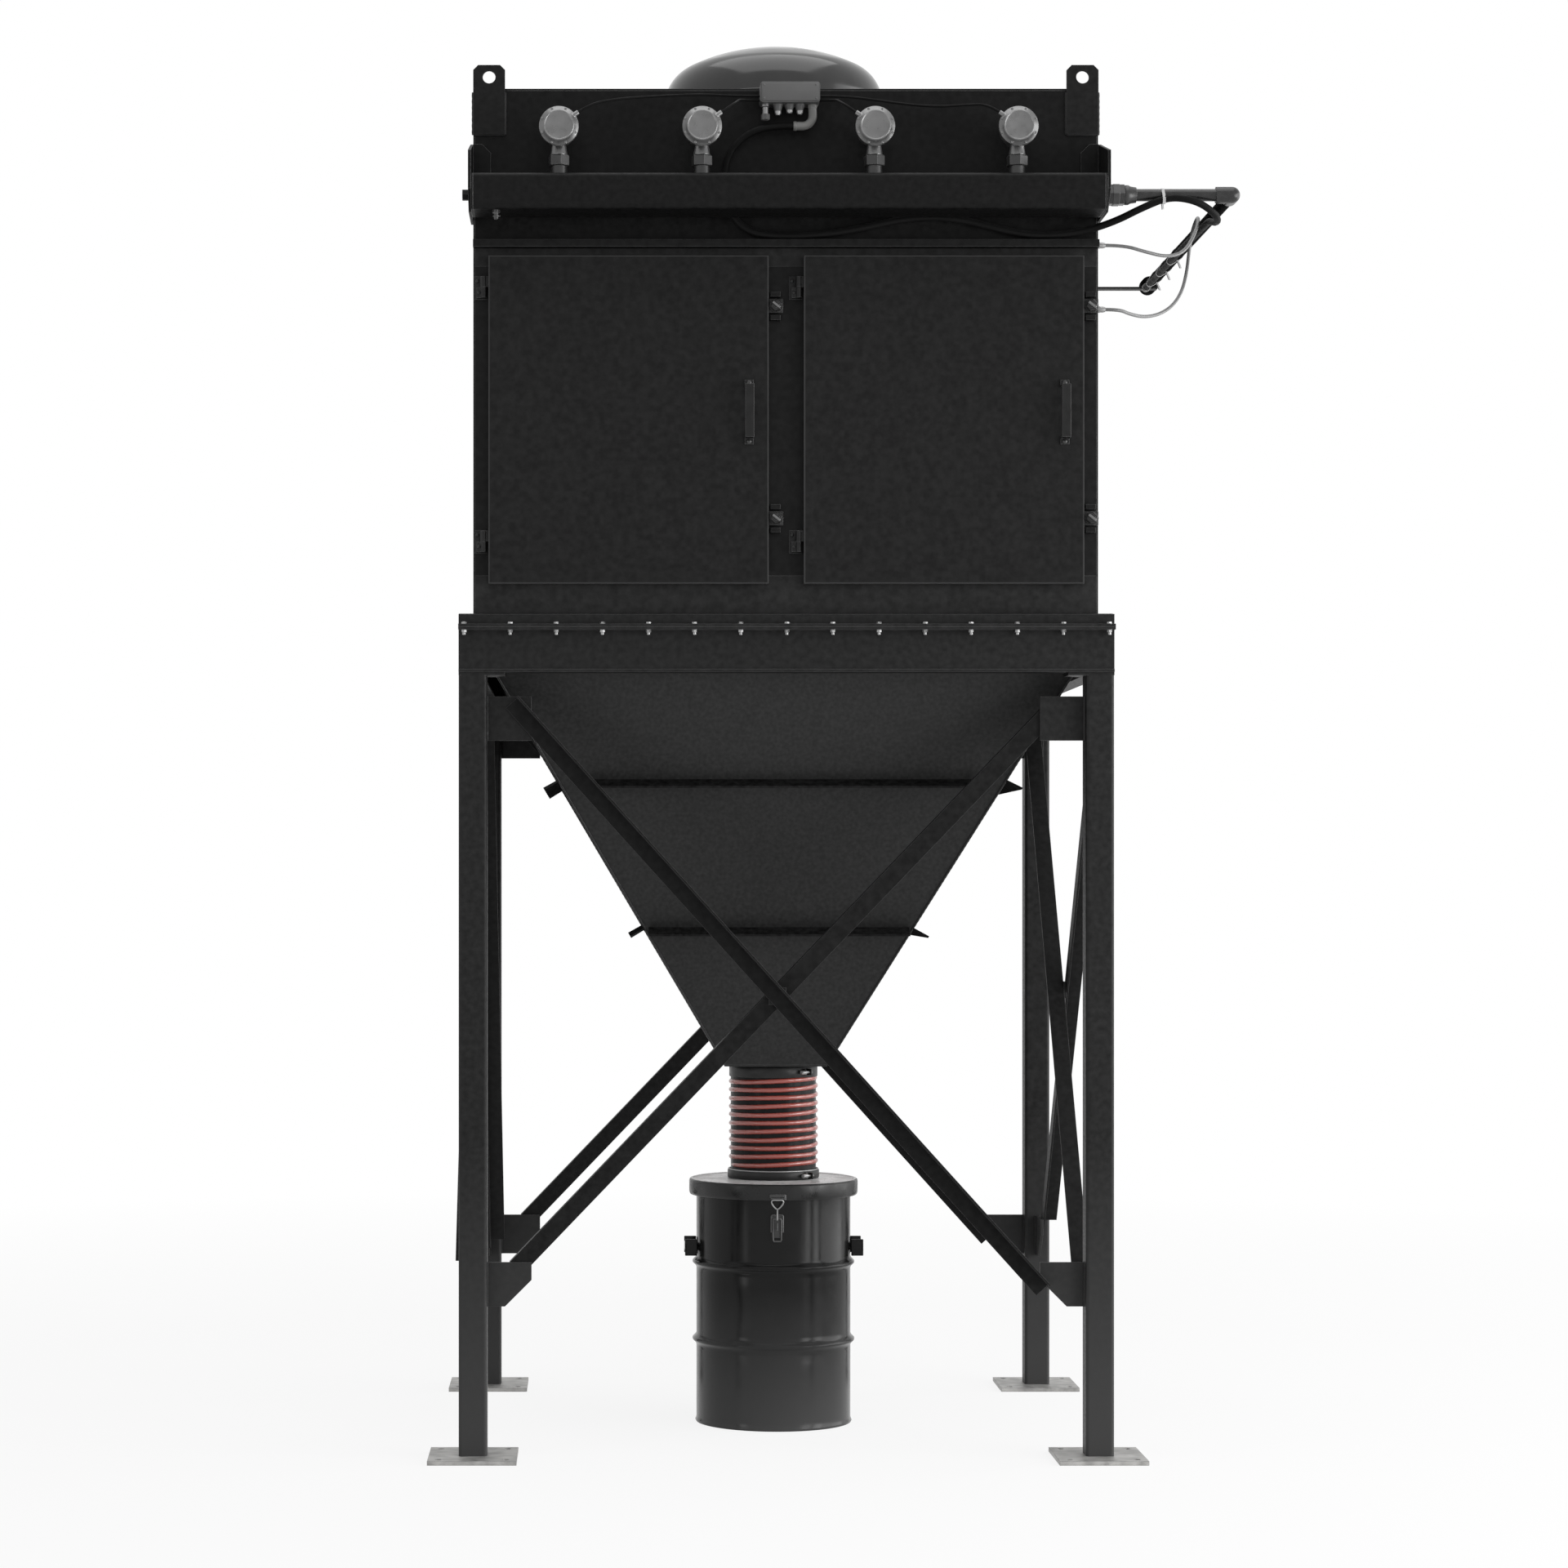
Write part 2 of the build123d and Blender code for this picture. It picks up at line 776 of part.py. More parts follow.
# Tube sheet with a hole for each cartridge and a folded lip across the front
cartridge_spots = []
for spot_x in valve_spots_x:
    for row_share in cartridge_row_shares:
        cartridge_spots.append((spot_x, row_share * housing_y))
tube_plate_low = tube_sheet_top - tube_plate
inside_x = wall_x - sheet
with BuildPart() as tube_sheet:
    with BuildSketch(Plane.XY.offset(tube_plate_low)):
        with Locations((0, -sheet / 2)):
            Rectangle(2 * inside_x, housing_y - sheet)
        with Locations(*cartridge_spots):
            Circle(tube_hole_r, mode=Mode.SUBTRACT)
    extrude(amount=tube_plate)
    box_between(
        (-wall_x, -wall_y - ledge_proud, ledge_low),
        (wall_x, -wall_y, tube_sheet_top),
    )
export_piece(tube_sheet, "tube_sheet")

# Front of the clean-air chamber, with a hole for each blow tube
with BuildPart() as plenum_front_wall:
    with BuildSketch(Plane.XZ.offset(wall_y - sheet)):
        with Locations((0, (tube_sheet_top + housing_top) / 2)):
            Rectangle(2 * inside_x, housing_top - tube_sheet_top)
        with Locations(*[(spot_x, valve_z) for spot_x in valve_spots_x]):
            Circle(blow_tube_r + blow_tube_clearance, mode=Mode.SUBTRACT)
    extrude(amount=sheet)
export_piece(plenum_front_wall, "plenum_front_wall")

# Door frame: rails over and under the doors, posts beside and between them
with BuildPart() as front_rails:
    box_between((-inside_x, -wall_y, housing_low), (inside_x, -wall_y + sheet, opening_low))
    box_between((-inside_x, -wall_y, opening_high), (inside_x, -wall_y + sheet, tube_plate_low))
export_piece(front_rails, "front_rails")


def add_post(near, far, return_edges):
    """A folded post from one edge to the other, with returns at the edges named."""
    box_between((near, -wall_y, opening_low), (far, -wall_y + sheet, opening_high))
    for edge in return_edges:
        inner = edge + sheet if edge == near else edge - sheet
        low_x, high_x = sorted((edge, inner))
        box_between((low_x, -wall_y, opening_low), (high_x, -wall_y + frame_return, opening_high))


with BuildPart() as front_posts:
    add_post(-opening_near, opening_near, (-opening_near, opening_near))
    add_post(opening_far, inside_x, (opening_far,))
    add_post(-inside_x, -opening_far, (-opening_far,))
export_piece(front_posts, "front_posts")

# Fixed halves of the door hinges, each with an upright pin
door_edges = {"left": -door_centre_x - door_width / 2, "right": door_centre_x - door_width / 2}
with BuildPart() as hinge_brackets:
    for edge in door_edges.values():
        axis_x = edge - hinge_offset
        for level in hinge_levels:
            low_z = level - hinge_half
            box_between(
                (axis_x - hinge_block_reach, door_mid, low_z),
                (axis_x + hinge_barrel_r, -wall_y, level - hinge_slot),
            )
            with BuildSketch(Plane.XY.offset(low_z)):
                with Locations((axis_x, door_mid)):
                    Circle(hinge_barrel_r)
            extrude(amount=hinge_half - hinge_slot)
            with BuildSketch(Plane.XY.offset(low_z)):
                with Locations((axis_x, door_mid)):
                    Circle(hinge_pin_r)
            extrude(amount=2 * hinge_half - 2 * hinge_slot)
export_piece(hinge_brackets, "hinge_brackets")

# Cheeks on the posts above and below each latch
with BuildPart() as latch_cheeks:
    for edge in door_edges.values():
        low_x = edge + door_width + cheek_gap
        for level in latch_levels:
            for side in sides:
                middle_z = level + side * (latch_height / 2 + cheek_gap + cheek_height / 2)
                box_between(
                    (low_x, -wall_y - cheek_proud, middle_z - cheek_height / 2),
                    (low_x + cheek_width, -wall_y, middle_z + cheek_height / 2),
                )
export_piece(latch_cheeks, "latch_cheeks")

# Doors with their hinge halves, latches and handles
for hand, edge in door_edges.items():
    far_edge = edge + door_width
    axis_x = edge - hinge_offset

    with BuildPart() as door:
        with BuildSketch(Plane.XZ.offset(-door_back)):
            with Locations((edge + door_width / 2, door_low_z + door_height / 2)):
                Rectangle(door_width, door_height)
        extrude(amount=door_thick)
        open_face = door.faces().sort_by(Axis.Y)[-1]
        offset(amount=-door_sheet, openings=open_face)
    export_piece(door, f"door_{hand}")

    with BuildPart() as door_hinges:
        for level in hinge_levels:
            with BuildSketch(Plane.XY.offset(level)):
                with Locations((axis_x, door_mid)):
                    Circle(hinge_barrel_r)
                with Locations((axis_x + hinge_offset / 2, door_mid)):
                    Rectangle(hinge_offset, hinge_leaf)
                with Locations((axis_x, door_mid)):
                    Circle(hinge_pin_r + hinge_pin_clearance, mode=Mode.SUBTRACT)
            extrude(amount=hinge_half)
    export_piece(door_hinges, f"door_{hand}_hinges")

    with BuildPart() as door_latches:
        knob_x = far_edge + latch_reach - knob_r
        ear_back = door_front + latch_back
        ear_front = ear_back - latch_thick
        knob_back = ear_front - knob_clearance
        for level in latch_levels:
            with BuildSketch(Plane.XZ.offset(-ear_back)):
                with Locations((far_edge + latch_reach / 2, level)):
                    Rectangle(latch_reach, latch_height)
                with Locations((knob_x, level)):
                    Circle(knob_stud_r + knob_clearance, mode=Mode.SUBTRACT)
            extrude(amount=latch_thick)
            with BuildSketch(Plane.XZ.offset(-knob_back)):
                with Locations((knob_x, level)):
                    Circle(knob_r)
            extrude(amount=knob_washer)
            with BuildSketch(Plane.XZ.offset(-knob_back + knob_washer)):
                with Locations((knob_x, level)):
                    RegularPolygon(knob_hex_r, side_count=6, major_radius=False)
            extrude(amount=knob_hex_length)
            with BuildSketch(Plane.XZ.offset(-knob_back + knob_washer + knob_hex_length)):
                with Locations((knob_x, level)):
                    Circle(knob_tip_r)
            extrude(amount=knob_tip_length)
            with BuildSketch(Plane.XZ.offset(-door_back)):
                with Locations((knob_x, level)):
                    Circle(knob_stud_r)
            extrude(amount=door_back - knob_back)
    export_piece(door_latches, f"door_{hand}_latches")

    with BuildPart() as door_handle:
        with BuildSketch(Plane.YZ.offset(far_edge - handle_edge - handle_width / 2)):
            with Locations((door_front - handle_depth / 2, handle_z)):
                Rectangle(handle_depth, handle_grip)
            with Locations((door_front - (handle_depth - handle_thick) / 2, handle_z)):
                gap_high = handle_grip - 2 * handle_thick
                Rectangle(handle_depth - handle_thick, gap_high, mode=Mode.SUBTRACT)
            for end in sides:
                foot_z = handle_z + end * (handle_grip / 2 + handle_foot / 2)
                with Locations((door_front - handle_thick / 2, foot_z)):
                    Rectangle(handle_thick, handle_foot)
        extrude(amount=handle_width)
    export_piece(door_handle, f"door_{hand}_handle")

# Compressed-air header: a rectangular tube with its two end plates
with BuildPart() as air_header:
    with BuildSketch(Plane.YZ.offset(-wall_x + header_wall)):
        with Locations((header_mid_y, pipe_z)):
            RectangleRounded(header_deep, header_height, header_corner_r)
            RectangleRounded(
                header_deep - 2 * header_wall,
                header_height - 2 * header_wall,
                header_corner_r - header_wall,
                mode=Mode.SUBTRACT,
            )
    extrude(amount=housing_x - 2 * header_wall)
export_piece(air_header, "air_header")

with BuildPart() as header_end_caps:
    with BuildSketch(Plane.YZ.offset(-wall_x)):
        with Locations((header_mid_y, pipe_z)):
            RectangleRounded(header_deep, header_height, header_corner_r)
    extrude(amount=header_wall)
    mirror(about=Plane.YZ)
    with BuildSketch(Plane.YZ.offset(-wall_x - bracket_thick)):
        with Locations((header_mid_y, pipe_z)):
            RegularPolygon(plug_r, side_count=6, major_radius=False)
    extrude(amount=-plug_length)
export_piece(header_end_caps, "header_end_caps")

# Brackets that carry the header from the front corners of the housing
bracket_top_z = header_top + bracket_rise
with BuildPart() as header_brackets:
    with BuildSketch(Plane.YZ.offset(wall_x)):
        with BuildLine():
            Polyline(
                (-wall_y + bracket_wing, header_low_z),
                (-wall_y + bracket_wing, bracket_top_z),
                (-wall_y, bracket_top_z),
                (header_front, bracket_top_z - bracket_front_drop),
                (header_front, header_low_z + bracket_front_drop),
                (header_front + bracket_front_drop, header_low_z),
                close=True,
            )
        make_face()
    extrude(amount=bracket_thick)
    with BuildSketch(Plane.XZ.offset(wall_y)):
        with BuildLine():
            Polyline(
                (wall_x, header_top),
                (wall_x, bracket_top_z),
                (wall_x - bracket_wing / 2, bracket_top_z),
                (wall_x - bracket_wing, bracket_top_z - bracket_wing / 2),
                (wall_x - bracket_wing, header_top),
                close=True,
            )
        make_face()
    extrude(amount=bracket_thick)
    mirror(about=Plane.YZ)
export_piece(header_brackets, "header_brackets")

# Pulse valves: a round diaphragm cover in front, an outlet behind, an inlet below and a lead plug
valve_front = header_mid_y - valve_body_deep / 2
coupling_top = header_top + valve_stub_height + valve_nut_height
neck_top = valve_z - valve_shoulder_drop
lead_plug_y = valve_front - valve_cover_thick / 2
lead_rise = math.sin(math.radians(lead_plug_angle))
lead_run = math.cos(math.radians(lead_plug_angle))


def lead_direction(spot_x):
    """Direction in which a valve's lead plug points, upwards and towards the middle."""
    return Vector(-math.copysign(lead_run, spot_x), 0, lead_rise)


with BuildPart() as pulse_valves:
    for spot_x in valve_spots_x:
        with BuildSketch(Plane.XZ.offset(-valve_front)):
            with Locations((spot_x, valve_z)):
                Circle(valve_cover_r)
        extrude(amount=valve_cover_thick)
        with BuildSketch(Plane.XZ.offset(-valve_front + valve_cover_thick)):
            with Locations((spot_x, valve_z)):
                Circle(valve_disc_r)
        extrude(amount=valve_disc_thick)
        with BuildSketch(Plane.XZ.offset(-valve_front - valve_body_deep)):
            with Locations((spot_x, valve_z)):
                Circle(valve_body_r)
        extrude(amount=valve_body_deep)
        with Locations((spot_x, header_mid_y, (coupling_top + neck_top) / 2)):
            Cone(valve_neck_r, valve_shoulder_r, neck_top - coupling_top)
        plug_dir = lead_direction(spot_x)
        plug_plane = Plane(origin=(spot_x, lead_plug_y, valve_z), x_dir=(0, 1, 0), z_dir=plug_dir)
        with BuildSketch(plug_plane.offset(valve_disc_r)):
            Circle(lead_plug_r)
        extrude(amount=valve_cover_r + lead_plug_length - valve_disc_r)
export_piece(pulse_valves, "pulse_valves")

# Hexagon couplings that join the valves to stubs on the header
with BuildPart() as valve_couplings:
    for spot_x in valve_spots_x:
        with BuildSketch(Plane.XY.offset(header_top)):
            with Locations((spot_x, header_mid_y)):
                Circle(valve_stub_r)
        extrude(amount=valve_stub_height)
        with BuildSketch(Plane.XY.offset(header_top + valve_stub_height)):
            with Locations((spot_x, header_mid_y)):
                RegularPolygon(valve_nut_af / 2, side_count=6, major_radius=False)
        extrude(amount=valve_nut_height)
export_piece(valve_couplings, "valve_couplings")

# Blow tubes from the valves back over the cartridges
valve_back = valve_front + valve_body_deep
with BuildPart() as blow_tubes:
    with BuildSketch(Plane.XZ.offset(-valve_back)):
        with Locations(*[(spot_x, valve_z) for spot_x in valve_spots_x]):
            Circle(blow_tube_r)
            Circle(blow_tube_r - blow_tube_wall, mode=Mode.SUBTRACT)
    extrude(amount=-(wall_y - blow_tube_end_gap - valve_back))
export_piece(blow_tubes, "blow_tubes")

# Junction box on the top edge of the front
with BuildPart() as junction_box:
    box_between(
        (box_x - box_width / 2, -wall_y - box_deep, box_low_z),
        (box_x + box_width / 2, -wall_y, box_low_z + box_height),
    )
    fillet(junction_box.edges().filter_by(Axis.Y), box_corner_r)
export_piece(junction_box, "junction_box")

# Glands below the box with a conduit elbow, glands on the side wall and the fitting at the conduit's end
elbow_top_x = box_x + elbow_x
elbow_end = (elbow_top_x - elbow_reach, box_mid_y, box_low_z - elbow_drop)
bracket_y = pipe_end_y - union_length - clip_width
conduit_offset = (pipe_r + conduit_fitting_r + conduit_clearance) / math.sqrt(2)
conduit_end_y = bracket_y - clip_width / 2 - conduit_fitting_length
conduit_end = (pipe_reach_x - conduit_offset, conduit_end_y, pipe_z - conduit_offset)
with BuildPart() as cable_glands:
    for spot in gland_spots:
        with BuildSketch(Plane.XY.offset(box_low_z)):
            with Locations((box_x + spot, box_mid_y)):
                RegularPolygon(gland_r, side_count=6, major_radius=False)
        extrude(amount=-gland_height)
    for drop in wall_gland_drops:
        with BuildSketch(Plane.YZ.offset(wall_x)):
            with Locations((wall_gland_y, tube_sheet_top - drop)):
                RegularPolygon(gland_r, side_count=6, major_radius=False)
        extrude(amount=gland_height)
    with BuildLine() as elbow_route:
        FilletPolyline(
            (elbow_top_x, box_mid_y, box_low_z),
            (elbow_top_x, box_mid_y, box_low_z - elbow_drop),
            elbow_end,
            radius=elbow_bend_r,
        )
    with BuildSketch(Plane.XY.offset(box_low_z)):
        with Locations((elbow_top_x, box_mid_y)):
            Circle(elbow_r)
    sweep(path=elbow_route.wires()[0])
    with BuildSketch(Plane.XZ.offset(-conduit_end_y)):
        with Locations((conduit_end[0], conduit_end[2])):
            Circle(conduit_fitting_r)
    extrude(amount=-conduit_fitting_length)
export_piece(cable_glands, "cable_glands")

# Lifting lugs at the four top corners
with BuildPart() as lifting_lugs:
    lug_x = wall_x - lug_width / 2
    with BuildSketch(Plane.XZ.offset(wall_y)):
        for side in sides:
            with BuildLine():
                half = lug_width / 2
                Polyline(
                    (side * lug_x - half, lug_top_z - lug_height),
                    (side * lug_x + half, lug_top_z - lug_height),
                    (side * lug_x + half, lug_top_z - lug_chamfer),
                    (side * lug_x + half - lug_chamfer, lug_top_z),
                    (side * lug_x - half + lug_chamfer, lug_top_z),
                    (side * lug_x - half, lug_top_z - lug_chamfer),
                    close=True,
                )
            make_face()
            with Locations((side * lug_x, lug_top_z - lug_hole_drop)):
                Circle(lug_hole_r, mode=Mode.SUBTRACT)
    extrude(amount=lug_thick)
    mirror(about=Plane.XZ)
export_piece(lifting_lugs, "lifting_lugs")

# Clean-air outlet: a round collar on the roof, under a domed cowl on four stays
cowl_low_z = housing_top + cowl_rise
cowl_inner_r = cowl_r - cowl_sheet
with BuildPart() as outlet_collar:
    with BuildSketch(Plane.XY.offset(housing_top)):
        Circle(collar_r)
        Circle(collar_r - collar_wall, mode=Mode.SUBTRACT)
    extrude(amount=collar_height)
export_piece(outlet_collar, "outlet_collar")

knuckle_x = cowl_r - cowl_knuckle_r
crown_r = (knuckle_x**2 + cowl_dome**2 - cowl_knuckle_r**2) / (2 * (cowl_dome - cowl_knuckle_r))
knuckle_turn = math.degrees(math.atan2(crown_r - cowl_dome, knuckle_x))
crown_centre = (0, cowl_low_z + cowl_dome - crown_r)
with BuildPart() as outlet_cowl:
    skirt_low_z = cowl_low_z - cowl_skirt
    with BuildSketch(Plane.XZ):
        with BuildLine():
            for inset in (0, cowl_sheet):
                CenterArc((knuckle_x, cowl_low_z), cowl_knuckle_r - inset, start_angle=0, arc_size=knuckle_turn)
                CenterArc(crown_centre, crown_r - inset, start_angle=knuckle_turn, arc_size=90 - knuckle_turn)
            Line((0, cowl_low_z + cowl_dome), (0, cowl_low_z + cowl_dome - cowl_sheet))
            Polyline(
                (cowl_inner_r, cowl_low_z),
                (cowl_inner_r, skirt_low_z),
                (cowl_r, skirt_low_z),
                (cowl_r, cowl_low_z),
            )
        make_face()
    revolve(axis=Axis.Z)
export_piece(outlet_cowl, "outlet_cowl")

with BuildPart() as cowl_stays:
    with BuildSketch(Plane.XY.offset(cowl_low_z - cowl_skirt)):
        with PolarLocations(cowl_r / 2, stay_count, start_angle=45):
            Rectangle(cowl_r, stay_thick)
        Circle(cowl_inner_r, mode=Mode.INTERSECT)
        Circle(collar_r, mode=Mode.SUBTRACT)
    extrude(amount=cowl_skirt)
export_piece(cowl_stays, "cowl_stays")

# Dirty-air inlet: a flanged round collar in the rear wall
with BuildPart() as inlet_collar:
    inlet_plane = Plane(origin=(0, wall_y - sheet, inlet_z), x_dir=(1, 0, 0), z_dir=(0, 1, 0))
    with BuildSketch(inlet_plane):
        Circle(inlet_r)
    extrude(amount=inlet_length)
    with BuildSketch(inlet_plane.offset(inlet_length - inlet_flange_thick)):
        Circle(inlet_flange_r)
        with PolarLocations(inlet_bolt_r, duct_bolts):
            Circle(duct_bolt_hole_r, mode=Mode.SUBTRACT)
    extrude(amount=inlet_flange_thick)
    with BuildSketch(inlet_plane):
        Circle(inlet_r - collar_wall)
    extrude(amount=inlet_length, mode=Mode.SUBTRACT)
export_piece(inlet_collar, "inlet_collar")

# Air supply line: out from the header's end to an elbow, then back along the side of the housing
bracket_face = wall_x + bracket_thick
elbow_face_y = header_mid_y + pipe_elbow_length
with BuildPart() as air_pipe_front_run:
    with BuildSketch(Plane.YZ.offset(bracket_face)):
        with Locations((header_mid_y, pipe_z)):
            Circle(pipe_r)
    extrude(amount=pipe_reach_x - bracket_face)
    with BuildSketch(Plane.YZ.offset(bracket_face)):
        with Locations((header_mid_y, pipe_z)):
            RegularPolygon(union_r, side_count=6, major_radius=False)
    extrude(amount=union_length)
    with BuildSketch(Plane.YZ.offset(pipe_reach_x - pipe_elbow_length)):
        with Locations((header_mid_y, pipe_z)):
            Circle(pipe_elbow_r)
    extrude(amount=pipe_elbow_length)
    with BuildSketch(Plane.XZ.offset(-elbow_face_y)):
        with Locations((pipe_reach_x, pipe_z)):
            Circle(pipe_elbow_r)
    extrude(amount=pipe_elbow_length)
    with Locations((pipe_reach_x, header_mid_y, pipe_z)):
        Sphere(pipe_elbow_r)
export_piece(air_pipe_front_run, "air_pipe_front_run")

with BuildPart() as air_pipe_side_run:
    with BuildSketch(Plane.XZ.offset(-pipe_end_y)):
        with Locations((pipe_reach_x, pipe_z)):
            Circle(pipe_r)
    extrude(amount=pipe_end_y - elbow_face_y)
    with BuildSketch(Plane.XZ.offset(-pipe_end_y)):
        with Locations((pipe_reach_x, pipe_z)):
            Circle(union_r)
    extrude(amount=union_length)
    with BuildSketch(Plane.XZ.offset(-pipe_end_y)):
        with Locations((pipe_reach_x, pipe_z)):
            Circle(pipe_bore_r)
    extrude(amount=union_length, mode=Mode.SUBTRACT)
export_piece(air_pipe_side_run, "air_pipe_side_run")

# Bracket that carries the far end of the line from the side wall
with BuildPart() as pipe_bracket:
    box_between(
        (wall_x, bracket_y - clip_width / 2, pipe_z - pipe_r - clip_thick),
        (pipe_reach_x + pipe_r, bracket_y + clip_width / 2, pipe_z - pipe_r),
    )
    box_between(
        (wall_x, bracket_y - clip_width / 2, pipe_z - pipe_r - clip_width),
        (wall_x + clip_thick, bracket_y + clip_width / 2, pipe_z - pipe_r),
    )
export_piece(pipe_bracket, "pipe_bracket")

# Filter cartridges hanging below the tube sheet, closed at the bottom
with BuildPart() as filter_cartridges:
    with BuildSketch(Plane.XY.offset(tube_plate_low)):
        with Locations(*cartridge_spots):
            Circle(cartridge_r)
    extrude(amount=-cartridge_length)
    with BuildSketch(Plane.XY.offset(tube_plate_low)):
        with Locations(*cartridge_spots):
            Circle(cartridge_bore_r)
    extrude(amount=-(cartridge_length - cartridge_floor), mode=Mode.SUBTRACT)
export_piece(filter_cartridges, "filter_cartridges")

# Cords: straight runs joined by arcs as large as the runs allow


def add_cord(route, cord_r):
    """A round cord along a route of points, with its bend radii and length printed."""
    points = [Vector(*place) for place in route]
    runs = [after - before for before, after in zip(points, points[1:])]
    radii = []
    for before, after in zip(runs, runs[1:]):
        half_turn = math.radians(before.get_angle(after)) / 2
        radii.append(arc_share * min(before.length, after.length) / math.tan(half_turn))
    with BuildLine() as path:
        FilletPolyline(*points, radius=radii)
    with BuildSketch(Plane(origin=points[0], z_dir=runs[0].normalized())) as section:
        Circle(cord_r)
    sweep(section.sketch, path=path.wires()[0])
    print("radii", [round(radius) for radius in radii], "length", round(path.wires()[0].length, 1))


def lead_end(spot_x):
    """The last two points of a valve's lead, in line with the plug."""
    plug = Vector(spot_x, lead_plug_y, valve_z)
    face = plug + lead_direction(spot_x) * (valve_cover_r + lead_plug_length)
    return [tuple(face + lead_direction(spot_x) * lead_straight), tuple(face)]


box_left = box_x - box_width / 2
box_right = box_x + box_width / 2
lead_routes = {
    "valve_lead_outer_left": [
        (box_left, box_mid_y, 3846),
        (-145, box_mid_y, 3846),
        (-235, -764, 3848),
        (-330, -795, 3838),
        (-415, -828, 3826),
        (-490, -858, 3813),
        *lead_end(valve_spots_x[0]),
    ],
    "valve_lead_inner_left": [
        (box_left, box_mid_y, 3834),
        (-112, box_mid_y, 3834),
        (-135, -790, 3827),
        (-142, -835, 3812),
        *lead_end(valve_spots_x[1]),
    ],
    "valve_lead_inner_right": [
        (box_right, box_mid_y, 3834),
        (130, box_mid_y, 3834),
        (141, -795, 3825),
        (145, -838, 3811),
        *lead_end(valve_spots_x[2]),
    ],
    "valve_lead_outer_right": [
        (box_right, box_mid_y, 3846),
        (165, box_mid_y, 3846),
        (255, -762, 3832),
        (345, -784, 3814),
        (430, -815, 3802),
        (500, -850, 3800),
        *lead_end(valve_spots_x[3]),
    ],
}
for node, route in lead_routes.items():
    with BuildPart() as lead:
        add_cord(route, lead_r)
    export_piece(lead, node)

conduit_route = [
    elbow_end,
    (-45, -750, 3762),
    (-112, -748, 3740),
    (-160, -744, 3692),
    (-176, -740, 3628),
    (-170, -740, 3560),
    (-148, -738, 3502),
    (-100, -735, 3465),
    (-30, -733, 3455),
    (60, -733, 3456),
    (150, -735, 3465),
    (235, -738, 3481),
    (320, -740, 3500),
    (408, -741, 3508),
    (500, -740, 3500),
    (590, -736, 3477),
    (680, -733, 3458),
    (765, -734, 3457),
    (850, -745, 3468),
    (925, -790, 3487),
    (985, -850, 3511),
    (1060, -870, 3540),
    (1135, -874, 3528),
    (1190, -845, 3500),
    (1212, -785, 3489),
    (1215, -715, 3496),
    (1218, -640, 3513),
    (conduit_end[0], -560, conduit_end[2]),
    conduit_end,
]
with BuildPart() as control_conduit:
    add_cord(conduit_route, conduit_r)
export_piece(control_conduit, "control_conduit")

signal_face = wall_x + gland_height
signal_route = [
    (signal_face, wall_gland_y, tube_sheet_top - wall_gland_drops[0]),
    (962, wall_gland_y, tube_sheet_top - wall_gland_drops[0]),
    (1025, -675, 3420),
    (1090, -640, 3412),
    (1145, -595, 3432),
    (1178, -560, 3480),
    (1198, -528, 3526),
    (1207, -484, 3556),
    (1207, -436, 3554),
    (1201, -398, 3522),
    (1196, -384, 3470),
    (1188, -394, 3410),
    (1170, -420, 3350),
    (1135, -465, 3300),
    (1085, -520, 3266),
    (1032, -580, 3250),
    (985, -640, 3249),
    (948, wall_gland_y, tube_sheet_top - wall_gland_drops[1]),
    (signal_face, wall_gland_y, tube_sheet_top - wall_gland_drops[1]),
]
with BuildPart() as signal_cable:
    add_cord(signal_route, signal_r)
export_piece(signal_cable, "signal_cable")
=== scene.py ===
import bmesh
import bpy
import json
import math
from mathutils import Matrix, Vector


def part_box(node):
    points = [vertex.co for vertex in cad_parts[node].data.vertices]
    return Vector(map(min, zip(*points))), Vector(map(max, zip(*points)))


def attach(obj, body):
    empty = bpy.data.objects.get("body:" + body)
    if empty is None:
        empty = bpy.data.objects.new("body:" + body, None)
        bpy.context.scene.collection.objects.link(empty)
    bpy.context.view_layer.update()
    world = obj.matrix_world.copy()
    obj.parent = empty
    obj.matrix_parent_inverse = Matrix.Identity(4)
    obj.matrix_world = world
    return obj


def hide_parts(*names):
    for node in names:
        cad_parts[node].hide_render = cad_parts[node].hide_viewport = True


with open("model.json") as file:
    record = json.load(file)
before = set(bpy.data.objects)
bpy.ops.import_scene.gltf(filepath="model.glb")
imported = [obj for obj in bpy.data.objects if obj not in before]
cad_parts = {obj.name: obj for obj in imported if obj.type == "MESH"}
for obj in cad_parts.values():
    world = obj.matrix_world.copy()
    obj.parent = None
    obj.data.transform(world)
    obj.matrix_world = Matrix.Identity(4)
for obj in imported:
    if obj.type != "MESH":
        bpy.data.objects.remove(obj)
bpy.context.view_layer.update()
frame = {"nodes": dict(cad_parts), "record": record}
scene = bpy.context.scene

MM = 0.001
SIDES = (-1, 1)
X_AXIS, Y_AXIS, Z_AXIS = Vector((1, 0, 0)), Vector((0, 1, 0)), Vector((0, 0, 1))
ORIGIN = Vector((0, 0, 0))


# Materials

UNIT = (0.0, 1.0)
NOISE_SPAN = (0.3, 0.7)


def grey(level):
    """A neutral colour."""
    return (level, level, level)


def noise(tree, coords, scale, detail):
    """A noise value over the object's own coordinates."""
    node = tree.nodes.new("ShaderNodeTexNoise")
    node.inputs["Scale"].default_value = scale
    node.inputs["Detail"].default_value = detail
    tree.links.new(coords, node.inputs["Vector"])
    return node.outputs["Fac"]


def remap(tree, value, source, target):
    """A value brought from one range to another."""
    node = tree.nodes.new("ShaderNodeMapRange")
    node.inputs["From Min"].default_value, node.inputs["From Max"].default_value = source
    node.inputs["To Min"].default_value, node.inputs["To Max"].default_value = target
    tree.links.new(value, node.inputs["Value"])
    return node.outputs["Result"]


